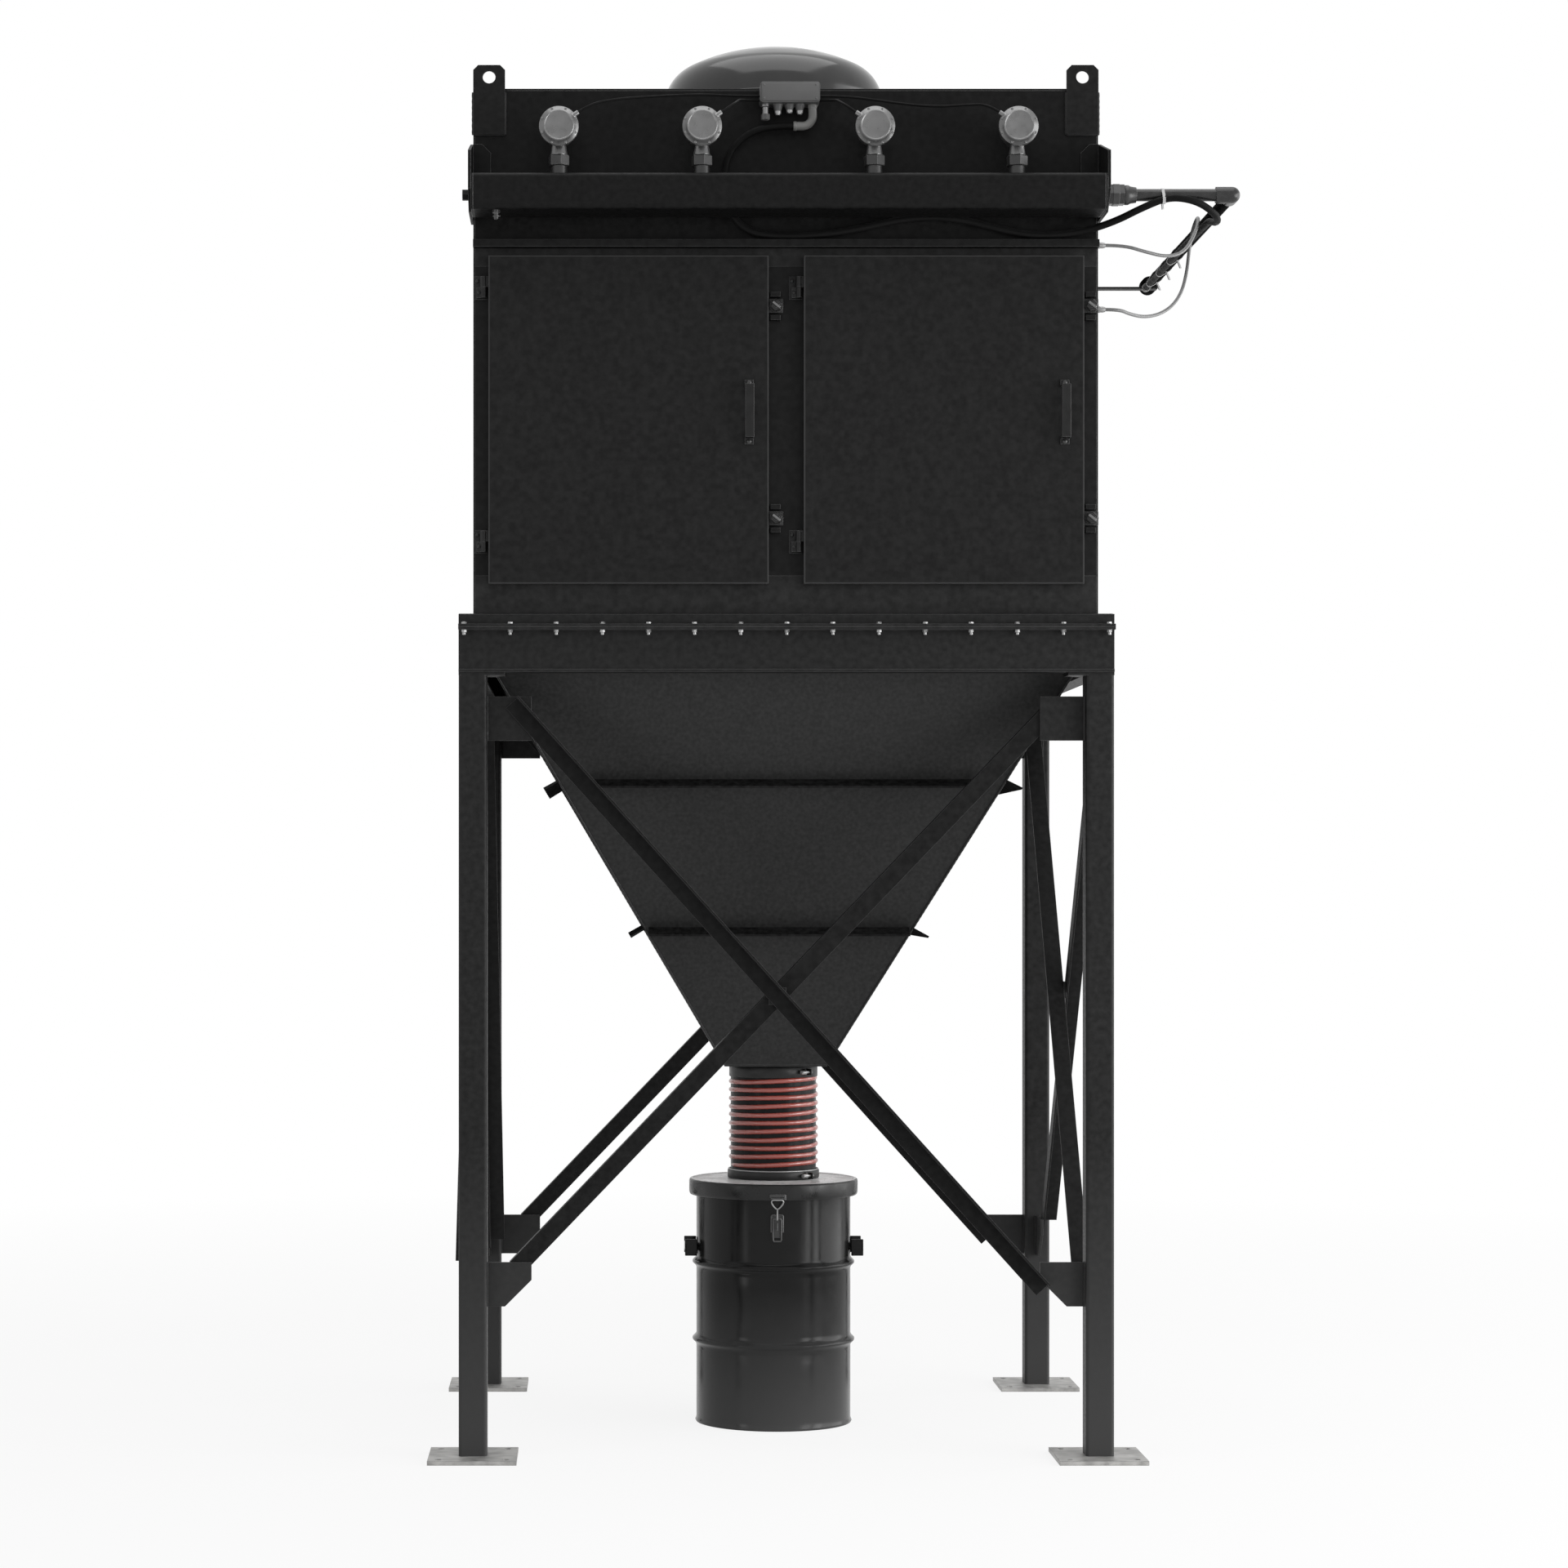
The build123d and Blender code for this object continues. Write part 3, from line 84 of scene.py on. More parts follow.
def mix(tree, share, first, second):
    """A colour between two colours, either of which may be a socket."""
    node = tree.nodes.new("ShaderNodeMix")
    node.data_type = "RGBA"
    tree.links.new(share, node.inputs["Factor"])
    for name, value in (("A", first), ("B", second)):
        socket = [s for s in node.inputs if s.name == name and s.type == "RGBA"][0]
        if isinstance(value, tuple):
            socket.default_value = (*value, 1)
        else:
            tree.links.new(value, socket)
    return [s for s in node.outputs if s.type == "RGBA"][0]


def component(tree, vector, axis):
    """One component of a vector: X, Y or Z."""
    node = tree.nodes.new("ShaderNodeSeparateXYZ")
    tree.links.new(vector, node.inputs["Vector"])
    return node.outputs[axis]


def number(tree, kind, operation, *values):
    """The number that a Math or VectorMath node makes of some values."""
    node = tree.nodes.new("ShaderNode" + kind)
    node.operation = operation
    for value, socket in zip(values, node.inputs):
        tree.links.new(value, socket)
    return node.outputs["Value"]


def largest(tree, values):
    """The largest of several values."""
    most = values[0]
    for value in values[1:]:
        most = number(tree, "Math", "MAXIMUM", most, value)
    return most


def edge_mask(tree, radius):
    """A rounded normal, and a value that rises along sharp edges."""
    bevel = tree.nodes.new("ShaderNodeBevel")
    bevel.samples = 4
    bevel.inputs["Radius"].default_value = radius
    rounded = bevel.outputs["Normal"]
    plain = tree.nodes.new("ShaderNodeNewGeometry").outputs["Normal"]
    return rounded, remap(tree, number(tree, "VectorMath", "DOT_PRODUCT", rounded, plain), (0.985, 0.86), UNIT)


def upward(tree):
    """A value that rises where a surface faces up, for painted light on top faces."""
    normal = tree.nodes.new("ShaderNodeNewGeometry").outputs["Normal"]
    return remap(tree, component(tree, normal, "Z"), (0.9, 0.98), UNIT)


def outline(tree, margin_x, margin_z):
    """A value of one in a narrow margin along the sides of an upright panel."""
    place = tree.nodes.new("ShaderNodeTexCoord").outputs["Generated"]
    sides = []
    for axis, margin in (("X", margin_x), ("Z", margin_z)):
        across = component(tree, place, axis)
        sides.append(remap(tree, across, (margin, 0.0), UNIT))
        sides.append(remap(tree, across, (1.0 - margin, 1.0), UNIT))
    return largest(tree, sides)


def near_floor(tree, coords, height):
    """A value that falls from one at the floor to zero at a height."""
    return remap(tree, component(tree, coords, "Z"), (0.0, height), (1.0, 0.0))


def surface(name, colour, roughness, metallic=0.0, specular=0.5, mottle=0.15, mottle_scale=30.0, grain=0.1,
            grain_scale=260.0, edge=None, edge_radius=0.003, rough_spread=0.1, painted_top_light=None, floor_bounce=None,
            floor_bounce_height=0.5):
    """A finish with clouded colour, fine grain, uneven gloss, painted edge highlights, painted top light and painted
    floor bounce.
    """
    material = bpy.data.materials.new(name)
    material.use_nodes = True
    tree = material.node_tree
    shader = tree.nodes["Principled BSDF"]
    coords = tree.nodes.new("ShaderNodeTexCoord").outputs["Object"]
    shader.inputs["Metallic"].default_value = metallic
    shader.inputs["Specular IOR Level"].default_value = specular
    cloud = noise(tree, coords, mottle_scale, 6.0)
    dark = tuple(c * (1 - mottle) for c in colour)
    light = tuple(min(1.0, c * (1 + mottle)) for c in colour)
    tint = mix(tree, remap(tree, cloud, NOISE_SPAN, UNIT), dark, light)
    bump = tree.nodes.new("ShaderNodeBump")
    bump.inputs["Strength"].default_value = grain
    bump.inputs["Distance"].default_value = 0.001
    tree.links.new(noise(tree, coords, grain_scale, 2.0), bump.inputs["Height"])
    tree.links.new(bump.outputs["Normal"], shader.inputs["Normal"])
    # Painted light bounced up from the floor: the colour lightens towards the floor.
    if floor_bounce is not None:
        tint = mix(tree, near_floor(tree, coords, floor_bounce_height), tint, floor_bounce)
    # Painted highlight: the edge colour lightens sharp edges where light would catch their rounding.
    if edge is not None:
        normal, edge_highlight = edge_mask(tree, edge_radius)
        tree.links.new(normal, bump.inputs["Normal"])
        tint = mix(tree, edge_highlight, tint, edge)
    # Painted light: faces that look up are lightened, as if lit from above.
    if painted_top_light is not None:
        tint = mix(tree, upward(tree), tint, painted_top_light)
    tree.links.new(tint, shader.inputs["Base Color"])
    low, high = max(0.03, roughness - rough_spread), min(1.0, roughness + rough_spread)
    rub = noise(tree, coords, mottle_scale * 2, 4.0)
    tree.links.new(remap(tree, rub, NOISE_SPAN, (low, high)), shader.inputs["Roughness"])
    return material


def overpaint(tree, share, colour):
    """Lays a colour over a finished surface by a share."""
    base = tree.nodes["Principled BSDF"].inputs["Base Color"]
    tree.links.new(mix(tree, share, base.links[0].from_socket, colour), base)


def hose_surface(name, crest_colour, wall_colour, wall_r, crest_r):
    """Glossy red ribs on a dark wall: colour and gloss follow the distance from the hose's upright axis."""
    material = surface(name, wall_colour, 0.3, specular=0.1, grain=0.08)
    tree = material.node_tree
    shader = tree.nodes["Principled BSDF"]
    flat = tree.nodes.new("ShaderNodeVectorMath")
    flat.operation = "MULTIPLY"
    flat.inputs[1].default_value = (1, 1, 0)
    tree.links.new(tree.nodes.new("ShaderNodeTexCoord").outputs["Object"], flat.inputs[0])
    rib = remap(tree, number(tree, "VectorMath", "LENGTH", flat.outputs["Vector"]), (wall_r, crest_r), UNIT)
    overpaint(tree, rib, crest_colour)
    tree.links.new(rib, shader.inputs["Coat Weight"])
    shader.inputs["Coat Roughness"].default_value = 0.25
    shader.inputs["Coat IOR"].default_value = 1.8
    return material


def paint(name, level, gloss, edge=0.09, floor_bounce=None, mottle=0.55, mottle_scale=58):
    """Black paint with a fine texture and a painted highlight along its edges."""
    return surface(name, grey(level), 0.5, specular=gloss, mottle=mottle, mottle_scale=mottle_scale, edge=grey(edge),
                   edge_radius=0.0025, floor_bounce=floor_bounce, floor_bounce_height=0.9)


def door_surface(name, level, gloss, highlight_line, margin_x, margin_z):
    """Black paint with a painted highlight line along the folded sides of a door."""
    material = paint(name, level, gloss)
    tree = material.node_tree
    # Painted highlight: a lighter line in the margin along the door's sides.
    overpaint(tree, outline(tree, margin_x, margin_z), grey(highlight_line))
    return material


# The edge colour in each finish is a painted highlight along its edges.
MATERIALS = {
    "black_paint": paint("black_paint", 0.0065, 0.14),
    "bare_steel": surface("bare_steel", (0.36, 0.355, 0.345), 0.5, metallic=0.55, mottle=0.3, mottle_scale=28,
                          edge=grey(0.2)),
    "zinc_steel": surface("zinc_steel", grey(0.29), 0.42, metallic=0.9, mottle_scale=40, grain=0.04),
    "latch_steel": surface("latch_steel", grey(0.012), 0.34, metallic=0.2, specular=0.35, mottle=0.12, grain=0.03,
                           edge=grey(0.12), edge_radius=0.0012),
    "cast_aluminium": surface("cast_aluminium", grey(0.16), 0.33, metallic=0.7, mottle=0.1, grain=0.05,
                              grain_scale=700, edge=grey(0.42), edge_radius=0.0015),
    "grey_enamel": surface("grey_enamel", grey(0.02), 0.16, mottle=0.3, mottle_scale=6, grain=0.01, rough_spread=0.06),
    "grey_plastic": surface("grey_plastic", grey(0.1), 0.5, specular=0.4, mottle=0.06, grain=0.06,
                            grain_scale=900, edge=grey(0.2), edge_radius=0.0012),
    "pipe_steel": surface("pipe_steel", grey(0.009), 0.4, specular=0.3, mottle=0.2, mottle_scale=25,
                          edge=grey(0.1), edge_radius=0.0015),
    "hose_rubber": hose_surface("hose_rubber", (0.3, 0.045, 0.03), grey(0.008), wall_r=0.1292, crest_r=0.1312),
    # The drum is painted lighter towards the floor as painted bounce light from the floor.
    "drum_enamel": surface("drum_enamel", grey(0.007), 0.2, specular=0.16, mottle=0.2, mottle_scale=12, grain=0.02,
                           rough_spread=0.05, edge=grey(0.03), edge_radius=0.0015, floor_bounce=grey(0.06),
                           floor_bounce_height=0.42),
    "filter_media": surface("filter_media", (0.62, 0.6, 0.54), 0.85, specular=0.2, mottle=0.1, grain=0.3),
    "black_cable": surface("black_cable", grey(0.005), 0.6, specular=0.08, mottle=0.12, grain=0.05, grain_scale=700),
    "grey_cable": surface("grey_cable", grey(0.13), 0.32, mottle=0.08, grain=0.05),
}
# Copies of the black paint, one per group of parts: their lighter and darker levels are painted light and shade for
# how light falls on each group. The edge colours in the finishes below are painted highlights.
upper_paint = paint("upper_paint", 0.0048, 0.115, edge=0.16)
door_paint = door_surface("door_paint", 0.0078, 0.15, highlight_line=0.058, margin_x=0.006, margin_z=0.0045)
sill_paint = paint("sill_paint", 0.0135, 0.18)
sleeve_black = surface("sleeve_black", grey(0.005), 0.8, specular=0.01, mottle=0.3, mottle_scale=40)
galvanised_pipe = surface("galvanised_pipe", grey(0.022), 0.3, metallic=0.3, mottle=0.25, mottle_scale=40,
                          edge=grey(0.16), edge_radius=0.0015)
# The frame is painted lighter towards the floor as painted bounce light from the floor.
frame_paint = paint("frame_paint", 0.0108, 0.17, floor_bounce=grey(0.048))
hopper_paint = paint("hopper_paint", 0.0205, 0.19, mottle=0.34, mottle_scale=95)
bar_paint = paint("bar_paint", 0.016, 0.0, edge=0.03)
brace_paint = paint("brace_paint", 0.0075, 0.12)
fitting_paint = surface("fitting_paint", grey(0.009), 0.45, specular=0.22, mottle=0.3, edge=grey(0.11))
dark_fitting = surface("dark_fitting", grey(0.05), 0.36, metallic=0.6, mottle=0.12, mottle_scale=40, grain=0.04,
                       edge=grey(0.26), edge_radius=0.0015)
# The lid's upward faces are painted light grey as painted light falling on its top.
lid_enamel = surface("lid_enamel", grey(0.009), 0.32, specular=0.3, mottle=0.2, mottle_scale=12, grain=0.02,
                     edge=grey(0.05), edge_radius=0.0015, painted_top_light=grey(0.75))
weld_metal = surface("weld_metal", grey(0.012), 0.45, specular=0.3, mottle=0.3, mottle_scale=60, grain=0.4,
                     grain_scale=320)
tie_nylon = surface("tie_nylon", grey(0.42), 0.45, mottle=0.06, grain=0.04)
pale_plastic = surface("pale_plastic", (0.2, 0.2, 0.195), 0.4, specular=0.4, mottle=0.06, grain=0.05,
                       grain_scale=900, edge=grey(0.42), edge_radius=0.001)
pleat_cap = surface("pleat_cap", grey(0.03), 0.6)

FINISHES = (
    (upper_paint, ("plenum_front_wall", "air_header", "header_end_caps", "header_brackets")),
    (frame_paint, ("legs", "gusset_plates", "support_beams_front_rear", "support_beams_sides",
                   "base_flange_front_rear", "base_flange_sides")),
    (hopper_paint, ("hopper_front_rear_plates", "hopper_side_plates", "hopper_outlet")),
    (bar_paint, ("hopper_stiffeners_front_rear", "hopper_stiffeners_sides")),
    (brace_paint, ("cross_braces",)),
    (door_paint, ("door_left", "door_right")),
    (sill_paint, ("front_rails",)),
    (fitting_paint, ("hinge_brackets", "door_left_hinges", "door_right_hinges", "door_left_handle",
                     "door_right_handle")),
    (sleeve_black, ("air_pipe_side_run",)),
    (galvanised_pipe, ("air_pipe_front_run",)),
)
slots = {row["node"]: row["material_slot"] for row in frame["record"]["subparts"]}
for name, node in frame["nodes"].items():
    node.data.materials.clear()
    node.data.materials.append(MATERIALS[slots[name]])
for material, names in FINISHES:
    for name in names:
        frame["nodes"][name].data.materials[0] = material


# Mesh tools

FINE_EDGE, SOFT_EDGE = 1.2 * MM, 2 * MM
WELD_PITCH, WELD_RIPPLE = 8 * MM, 0.18


def add(name, data):
    """A new object in the scene."""
    made = bpy.data.objects.new(name, data)
    scene.collection.objects.link(made)
    return made


class Shape:
    """Collects turned, boxed and swept forms into one piece."""

    def __init__(self):
        self.mesh = bmesh.new()

    def skin(self, rings, closed=False):
        """Faces between neighbouring rings of vertices. A ring of one vertex is a tip."""
        pairs = list(zip(rings, rings[1:]))
        if closed:
            pairs.append((rings[-1], rings[0]))
        for low, high in pairs:
            count = max(len(low), len(high))
            for i in range(count):
                j = (i + 1) % count
                if len(low) == 1:
                    corners = [low[0], high[j], high[i]]
                elif len(high) == 1:
                    corners = [low[i], low[j], high[0]]
                else:
                    corners = [low[i], low[j], high[j], high[i]]
                self.mesh.faces.new(corners)

    def lathe(self, profile, place, axis=Z_AXIS, steps=32, turn=0.0, closed=False):
        """A profile of (radius, height) pairs turned about an axis. Six steps make a hexagon."""
        spin = axis.to_track_quat("Z", "Y")
        rings = []
        for radius, height in profile:
            if radius == 0:
                rings.append([self.mesh.verts.new(place + spin @ Vector((0, 0, height)))])
                continue
            ring = []
            for i in range(steps):
                angle = turn + 2 * math.pi * i / steps
                spot = Vector((radius * math.cos(angle), radius * math.sin(angle), height))
                ring.append(self.mesh.verts.new(place + spin @ spot))
            rings.append(ring)
        self.skin(rings, closed)

    def ring(self, profile, place, axis=Z_AXIS, steps=96):
        """A closed profile of (radius, height) pairs turned about an axis."""
        self.lathe(profile, place, axis, steps, closed=True)

    def block(self, middle, axes, size, bevel):
        """A box with softened edges along three axes."""
        made = bmesh.ops.create_cube(self.mesh, size=1.0)["verts"]
        for vert in made:
            vert.co = middle + sum((axis * side * c for axis, side, c in zip(axes, size, vert.co)), Vector())
        edges = list({edge for vert in made for edge in vert.link_edges})
        bmesh.ops.bevel(self.mesh, geom=edges, offset=bevel, segments=2, affect="EDGES", profile=0.5)

    def box(self, low, high, bevel):
        """A box with softened edges between two corners."""
        low, high = Vector(low), Vector(high)
        self.block((low + high) / 2, (X_AXIS, Y_AXIS, Z_AXIS), high - low, bevel)

    def tube(self, points, radius, steps, closed=False, ripple=0.0):
        """A round bar along points. A ripple makes its thickness rise and fall, as on a weld."""
        points = [Vector(p) for p in points]
        count = len(points)
        rings = []
        side = None
        for i, point in enumerate(points):
            before = points[i - 1] if i or closed else point
            after = points[(i + 1) % count] if i < count - 1 or closed else point
            along = (after - before).normalized()
            if side is None:
                side = along.orthogonal().normalized()
            side = (side - along * side.dot(along)).normalized()
            other = along.cross(side)
            thick = radius * (1 + ripple * (i % 2))
            ring = []
            for k in range(steps):
                angle = 2 * math.pi * k / steps
                offset = side * math.cos(angle) + other * math.sin(angle)
                ring.append(self.mesh.verts.new(point + offset * thick))
            rings.append(ring)
        if not closed:
            rings.insert(0, [self.mesh.verts.new(points[0])])
            rings.append([self.mesh.verts.new(points[-1])])
        self.skin(rings, closed)

    def band(self, points, outs, along, width, thick):
        """A closed flat strap: its middle line, the outward direction at each point, and the way across."""
        rings = []
        for point, out in zip(points, outs):
            ring = []
            for across, rise in ((-0.5, 0), (0.5, 0), (0.5, 1), (-0.5, 1)):
                ring.append(self.mesh.verts.new(point + along * width * across + out * thick * rise))
            rings.append(ring)
        self.skin(rings, True)

    def weld(self, start, end, radius):
        """A rippled bead between two points."""
        start, end = Vector(start), Vector(end)
        count = max(3, int((end - start).length / WELD_PITCH))
        self.tube([start.lerp(end, i / count) for i in range(count + 1)], radius, 8, ripple=WELD_RIPPLE)

    def piece(self, name, slot, material=None, body="collector", replaces=(), angle=35.0):
        """The finished piece with its open ends capped, riding on its body."""
        rims = [edge for edge in self.mesh.edges if edge.is_boundary]
        bmesh.ops.holes_fill(self.mesh, edges=rims, sides=0)
        bmesh.ops.recalc_face_normals(self.mesh, faces=self.mesh.faces)
        data = bpy.data.meshes.new(name)
        self.mesh.to_mesh(data)
        self.mesh.free()
        data.polygons.foreach_set("use_smooth", [True] * len(data.polygons))
        data.set_sharp_from_angle(angle=math.radians(angle))
        data.materials.append(material or MATERIALS[slot])
        made = add(name, data)
        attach(made, body)
        if replaces:
            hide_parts(*replaces)


HEX = 1 / math.cos(math.pi / 6)


def hex_head(shape, place, axis, flats, height, turn=0.0):
    """A hexagon bolt head or nut with a chamfered top, standing on a place."""
    r, cut = flats / 2 * HEX, flats * 0.08
    shape.lathe([(0, 0), (r, 0), (r, height - cut), (r - cut * 1.4, height), (0, height)], place, axis, 6, turn)


def washer(shape, place, axis, radius, thick):
    """A flat washer with eased rims."""
    ease = thick * 0.3
    shape.lathe([(0, 0), (radius, 0), (radius, thick - ease), (radius - ease, thick), (0, thick)], place, axis, 24)


def pan_screw(shape, place, axis, radius, height):
    """A domed screw head."""
    shape.lathe([(0, 0), (radius, 0), (radius, height * 0.4), (radius * 0.8, height * 0.8),
                 (radius * 0.4, height), (0, height)], place, axis, 20)


def arc(centre, radius, start, end, count):
    """Points of (across, up) along an arc, with angles in degrees."""
    points = []
    for i in range(count + 1):
        angle = math.radians(start + (end - start) * i / count)
        points.append((centre[0] + radius * math.cos(angle), centre[1] + radius * math.sin(angle)))
    return points


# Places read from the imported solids

lip_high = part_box("base_flange_front_rear")[1]
beam_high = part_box("support_beams_front_rear")[1]
hose_low, hose_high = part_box("discharge_hose")
lid_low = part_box("drum_lid")[0]
header_low, header_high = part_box("air_header")
lug_low, lug_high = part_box("lifting_lugs")
wall_low, wall_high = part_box("side_walls")
box_low, box_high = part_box("junction_box")
glands_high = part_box("cable_glands")[1]
pipe_low, pipe_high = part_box("air_pipe_front_run")
cowl_low, cowl_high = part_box("outlet_cowl")
hinge_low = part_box("hinge_brackets")[0]
hopper_low, hopper_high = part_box("hopper_front_rear_plates")
cart_low, cart_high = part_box("filter_cartridges")
FRONT_WALL = wall_low.y
HOUSING_TOP = wall_high.z
DOOR_BODIES = ("door_left", "door_right")


# Bolts along the flange between the housing and the frame

LIP_THICK, BEAM_FLANGE = 8 * MM, 8 * MM
BOLT_COUNT, BOLT_END_X, BOLT_INSET = 15, 0.908, 14 * MM
BOLT_FLATS, HEAD_HEIGHT, NUT_HEIGHT = 13 * MM, 5 * MM, 6.5 * MM
HEAD_TURN, NUT_TURN = 0.7, 0.4
WASHER_R, WASHER_THICK = 8 * MM, 1.5 * MM
THREAD_END = [(0.005, 0), (0.005, 0.006), (0.004, 0.007), (0, 0.007)]
flange_bolts = Shape()
for side in SIDES:
    bolt_y = side * (lip_high.y - BOLT_INSET)
    for i in range(BOLT_COUNT):
        bolt_x = -BOLT_END_X + 2 * BOLT_END_X * i / (BOLT_COUNT - 1)
        top = Vector((bolt_x, bolt_y, beam_high.z + LIP_THICK))
        under = Vector((bolt_x, bolt_y, beam_high.z - BEAM_FLANGE))
        turn = HEAD_TURN * i
        washer(flange_bolts, top, Z_AXIS, WASHER_R, WASHER_THICK)
        hex_head(flange_bolts, top + Z_AXIS * WASHER_THICK, Z_AXIS, BOLT_FLATS, HEAD_HEIGHT, turn)
        washer(flange_bolts, under, -Z_AXIS, WASHER_R, WASHER_THICK)
        hex_head(flange_bolts, under - Z_AXIS * WASHER_THICK, -Z_AXIS, BOLT_FLATS, NUT_HEIGHT, turn + NUT_TURN)
        flange_bolts.lathe(THREAD_END, under - Z_AXIS * (WASHER_THICK + NUT_HEIGHT), -Z_AXIS, 14)
flange_bolts.piece("flange_bolts", "zinc_steel")


# Hinge plates on the posts, and screws on the hinges and the handles

PIN_INSET, HINGE_HALF = 9 * MM, 30 * MM
PLATE_LEFT, PLATE_RIGHT, PLATE_DOWN, PLATE_UP, PLATE_THICK = 27 * MM, 11 * MM, 33 * MM, 34 * MM, 4 * MM
STRAP_THICK, STRAP_FOOT = 5 * MM, 16 * MM
# Across and up from the pin, the face it sits on, and the head's radius and height
HINGE_SCREWS = ((-14.5 * MM, -15 * MM, hinge_low.y + 9 * MM, 4.6 * MM, 3 * MM),
                (-18.5 * MM, 20 * MM, FRONT_WALL - PLATE_THICK, 5.5 * MM, 4 * MM))
hinge_plates = Shape()
hinge_screws = Shape()
for hand in DOOR_BODIES:
    leaf_low, leaf_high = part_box(hand + "_hinges")
    pin_x = leaf_low.x + PIN_INSET
    for level in (leaf_low.z, leaf_high.z - HINGE_HALF):
        hinge_plates.box((pin_x - PLATE_LEFT, FRONT_WALL - PLATE_THICK, level - PLATE_DOWN),
                         (pin_x + PLATE_RIGHT, FRONT_WALL, level + PLATE_UP), FINE_EDGE)
        for across, up, face, radius, height in HINGE_SCREWS:
            pan_screw(hinge_screws, Vector((pin_x + across, face, level + up)), -Y_AXIS, radius, height)
hinge_plates.piece("hinge_plates", "black_paint", fitting_paint)
hinge_screws.piece("hinge_screws", "latch_steel")
for hand in DOOR_BODIES:
    grip_low, grip_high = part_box(hand + "_handle")
    foot_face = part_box(hand)[0].y - STRAP_THICK
    screws = Shape()
    for level in (grip_low.z + STRAP_FOOT / 2, grip_high.z - STRAP_FOOT / 2):
        place = Vector(((grip_low.x + grip_high.x) / 2, foot_face, level))
        pan_screw(screws, place, -Y_AXIS, 6.5 * MM, 4 * MM)
    screws.piece(hand + "_handle_screws", "latch_steel", dark_fitting, body=hand)


# Door latches: an ear, a stud and a knob with a small cross bar

EAR_HALF, EAR_BACK, EAR_FRONT = 20 * MM, -0.732, -0.738
KNOB_R, KNOB_WASHER, KNOB_TURN = 20 * MM, 4 * MM, math.radians(15)
KNOB_HEX = [(0.0165, 0.004), (0.0173, 0.005), (0.0173, 0.016), (0.0145, 0.019), (0.009, 0.019), (0.009, 0.02),
            (0, 0.02)]
KNOB_STUD = [(0, 0), (0.006, 0), (0.006, 0.018), (0, 0.018)]
BAR_REACH, BAR_PROUD, BAR_R = Vector((7.5, 0, -6)) * MM, 21.5 * MM, 4.2 * MM
BAR_TIP = BAR_REACH.normalized() * 3 * MM
for hand in DOOR_BODIES:
    latch_low, latch_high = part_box(hand + "_latches")
    latches = Shape()
    bars = Shape()
    for level in (latch_low.z + EAR_HALF, latch_high.z - EAR_HALF):
        latches.box((latch_low.x, EAR_FRONT, level - EAR_HALF), (latch_high.x, EAR_BACK, level + EAR_HALF), SOFT_EDGE)
        knob = Vector((latch_high.x - KNOB_R, EAR_FRONT, level))
        washer(latches, knob, -Y_AXIS, KNOB_R, KNOB_WASHER)
        latches.lathe(KNOB_HEX, knob, -Y_AXIS, 6, KNOB_TURN)
        latches.lathe(KNOB_STUD, knob, Y_AXIS, 16)
        middle = knob - Y_AXIS * BAR_PROUD
        left, right = middle - BAR_REACH, middle + BAR_REACH
        bars.tube([left - BAR_TIP, left, middle, right, right + BAR_TIP], BAR_R, 14)
    latches.piece(hand + "_latch_knobs", "latch_steel", body=hand, replaces=(hand + "_latches",))
    bars.piece(hand + "_latch_bars", "latch_steel", MATERIALS["cast_aluminium"], body=hand)


# Pulse valves: turned diaphragm covers with bolts round the rim, necks and hexagon couplings

VALVE_X = (-0.640016, -0.240978, 0.240978, 0.640016)
VALVE_Z, VALVE_BACK = 3.735, -0.808
NECK_Y, NECK_Z = -0.84, 3.66
PLUG_Y, PLUG_ANGLE = -0.881, math.radians(35)
COVER_BOLTS, COVER_BOLT_R, COVER_BOLT_Y = 8, 0.0505, -0.883
COUPLING_TURN = math.radians(-78)
VALVE_COVER = [(0, 0), (0.043, 0), (0.046, 0.003), (0.046, 0.056), (0.05, 0.06), (0.0545, 0.062), (0.0555, 0.064),
               (0.0555, 0.071), (0.0548, 0.0735), (0.052, 0.076), (0.0475, 0.0802), (0.0445, 0.084),
               (0.0425, 0.0866), (0.041, 0.0878), (0.0395, 0.0878), (0.0383, 0.0868), (0.037, 0.0862), (0, 0.0862)]
VALVE_NECK = [(0, 0), (0.0232, 0), (0.0238, 0.002), (0.0232, 0.004), (0.0222, 0.011), (0.0205, 0.02),
              (0.0198, 0.03), (0.0205, 0.04), (0.023, 0.05), (0, 0.052)]
VALVE_PLUG = [(0, 0.042), (0.007, 0.042), (0.007, 0.064), (0.006, 0.066), (0, 0.066)]
COUPLING_STUB = [(0.0225, 0), (0.0225, 0.03), (0.0215, 0.0315)]
COUPLING_NUT = [(0.0215, 0.029), (0.0275, 0.029), (0.0298, 0.032), (0.0298, 0.0565), (0.0275, 0.06), (0.0215, 0.06)]
pulse_valves = Shape()
couplings = Shape()
valve_bolts = Shape()
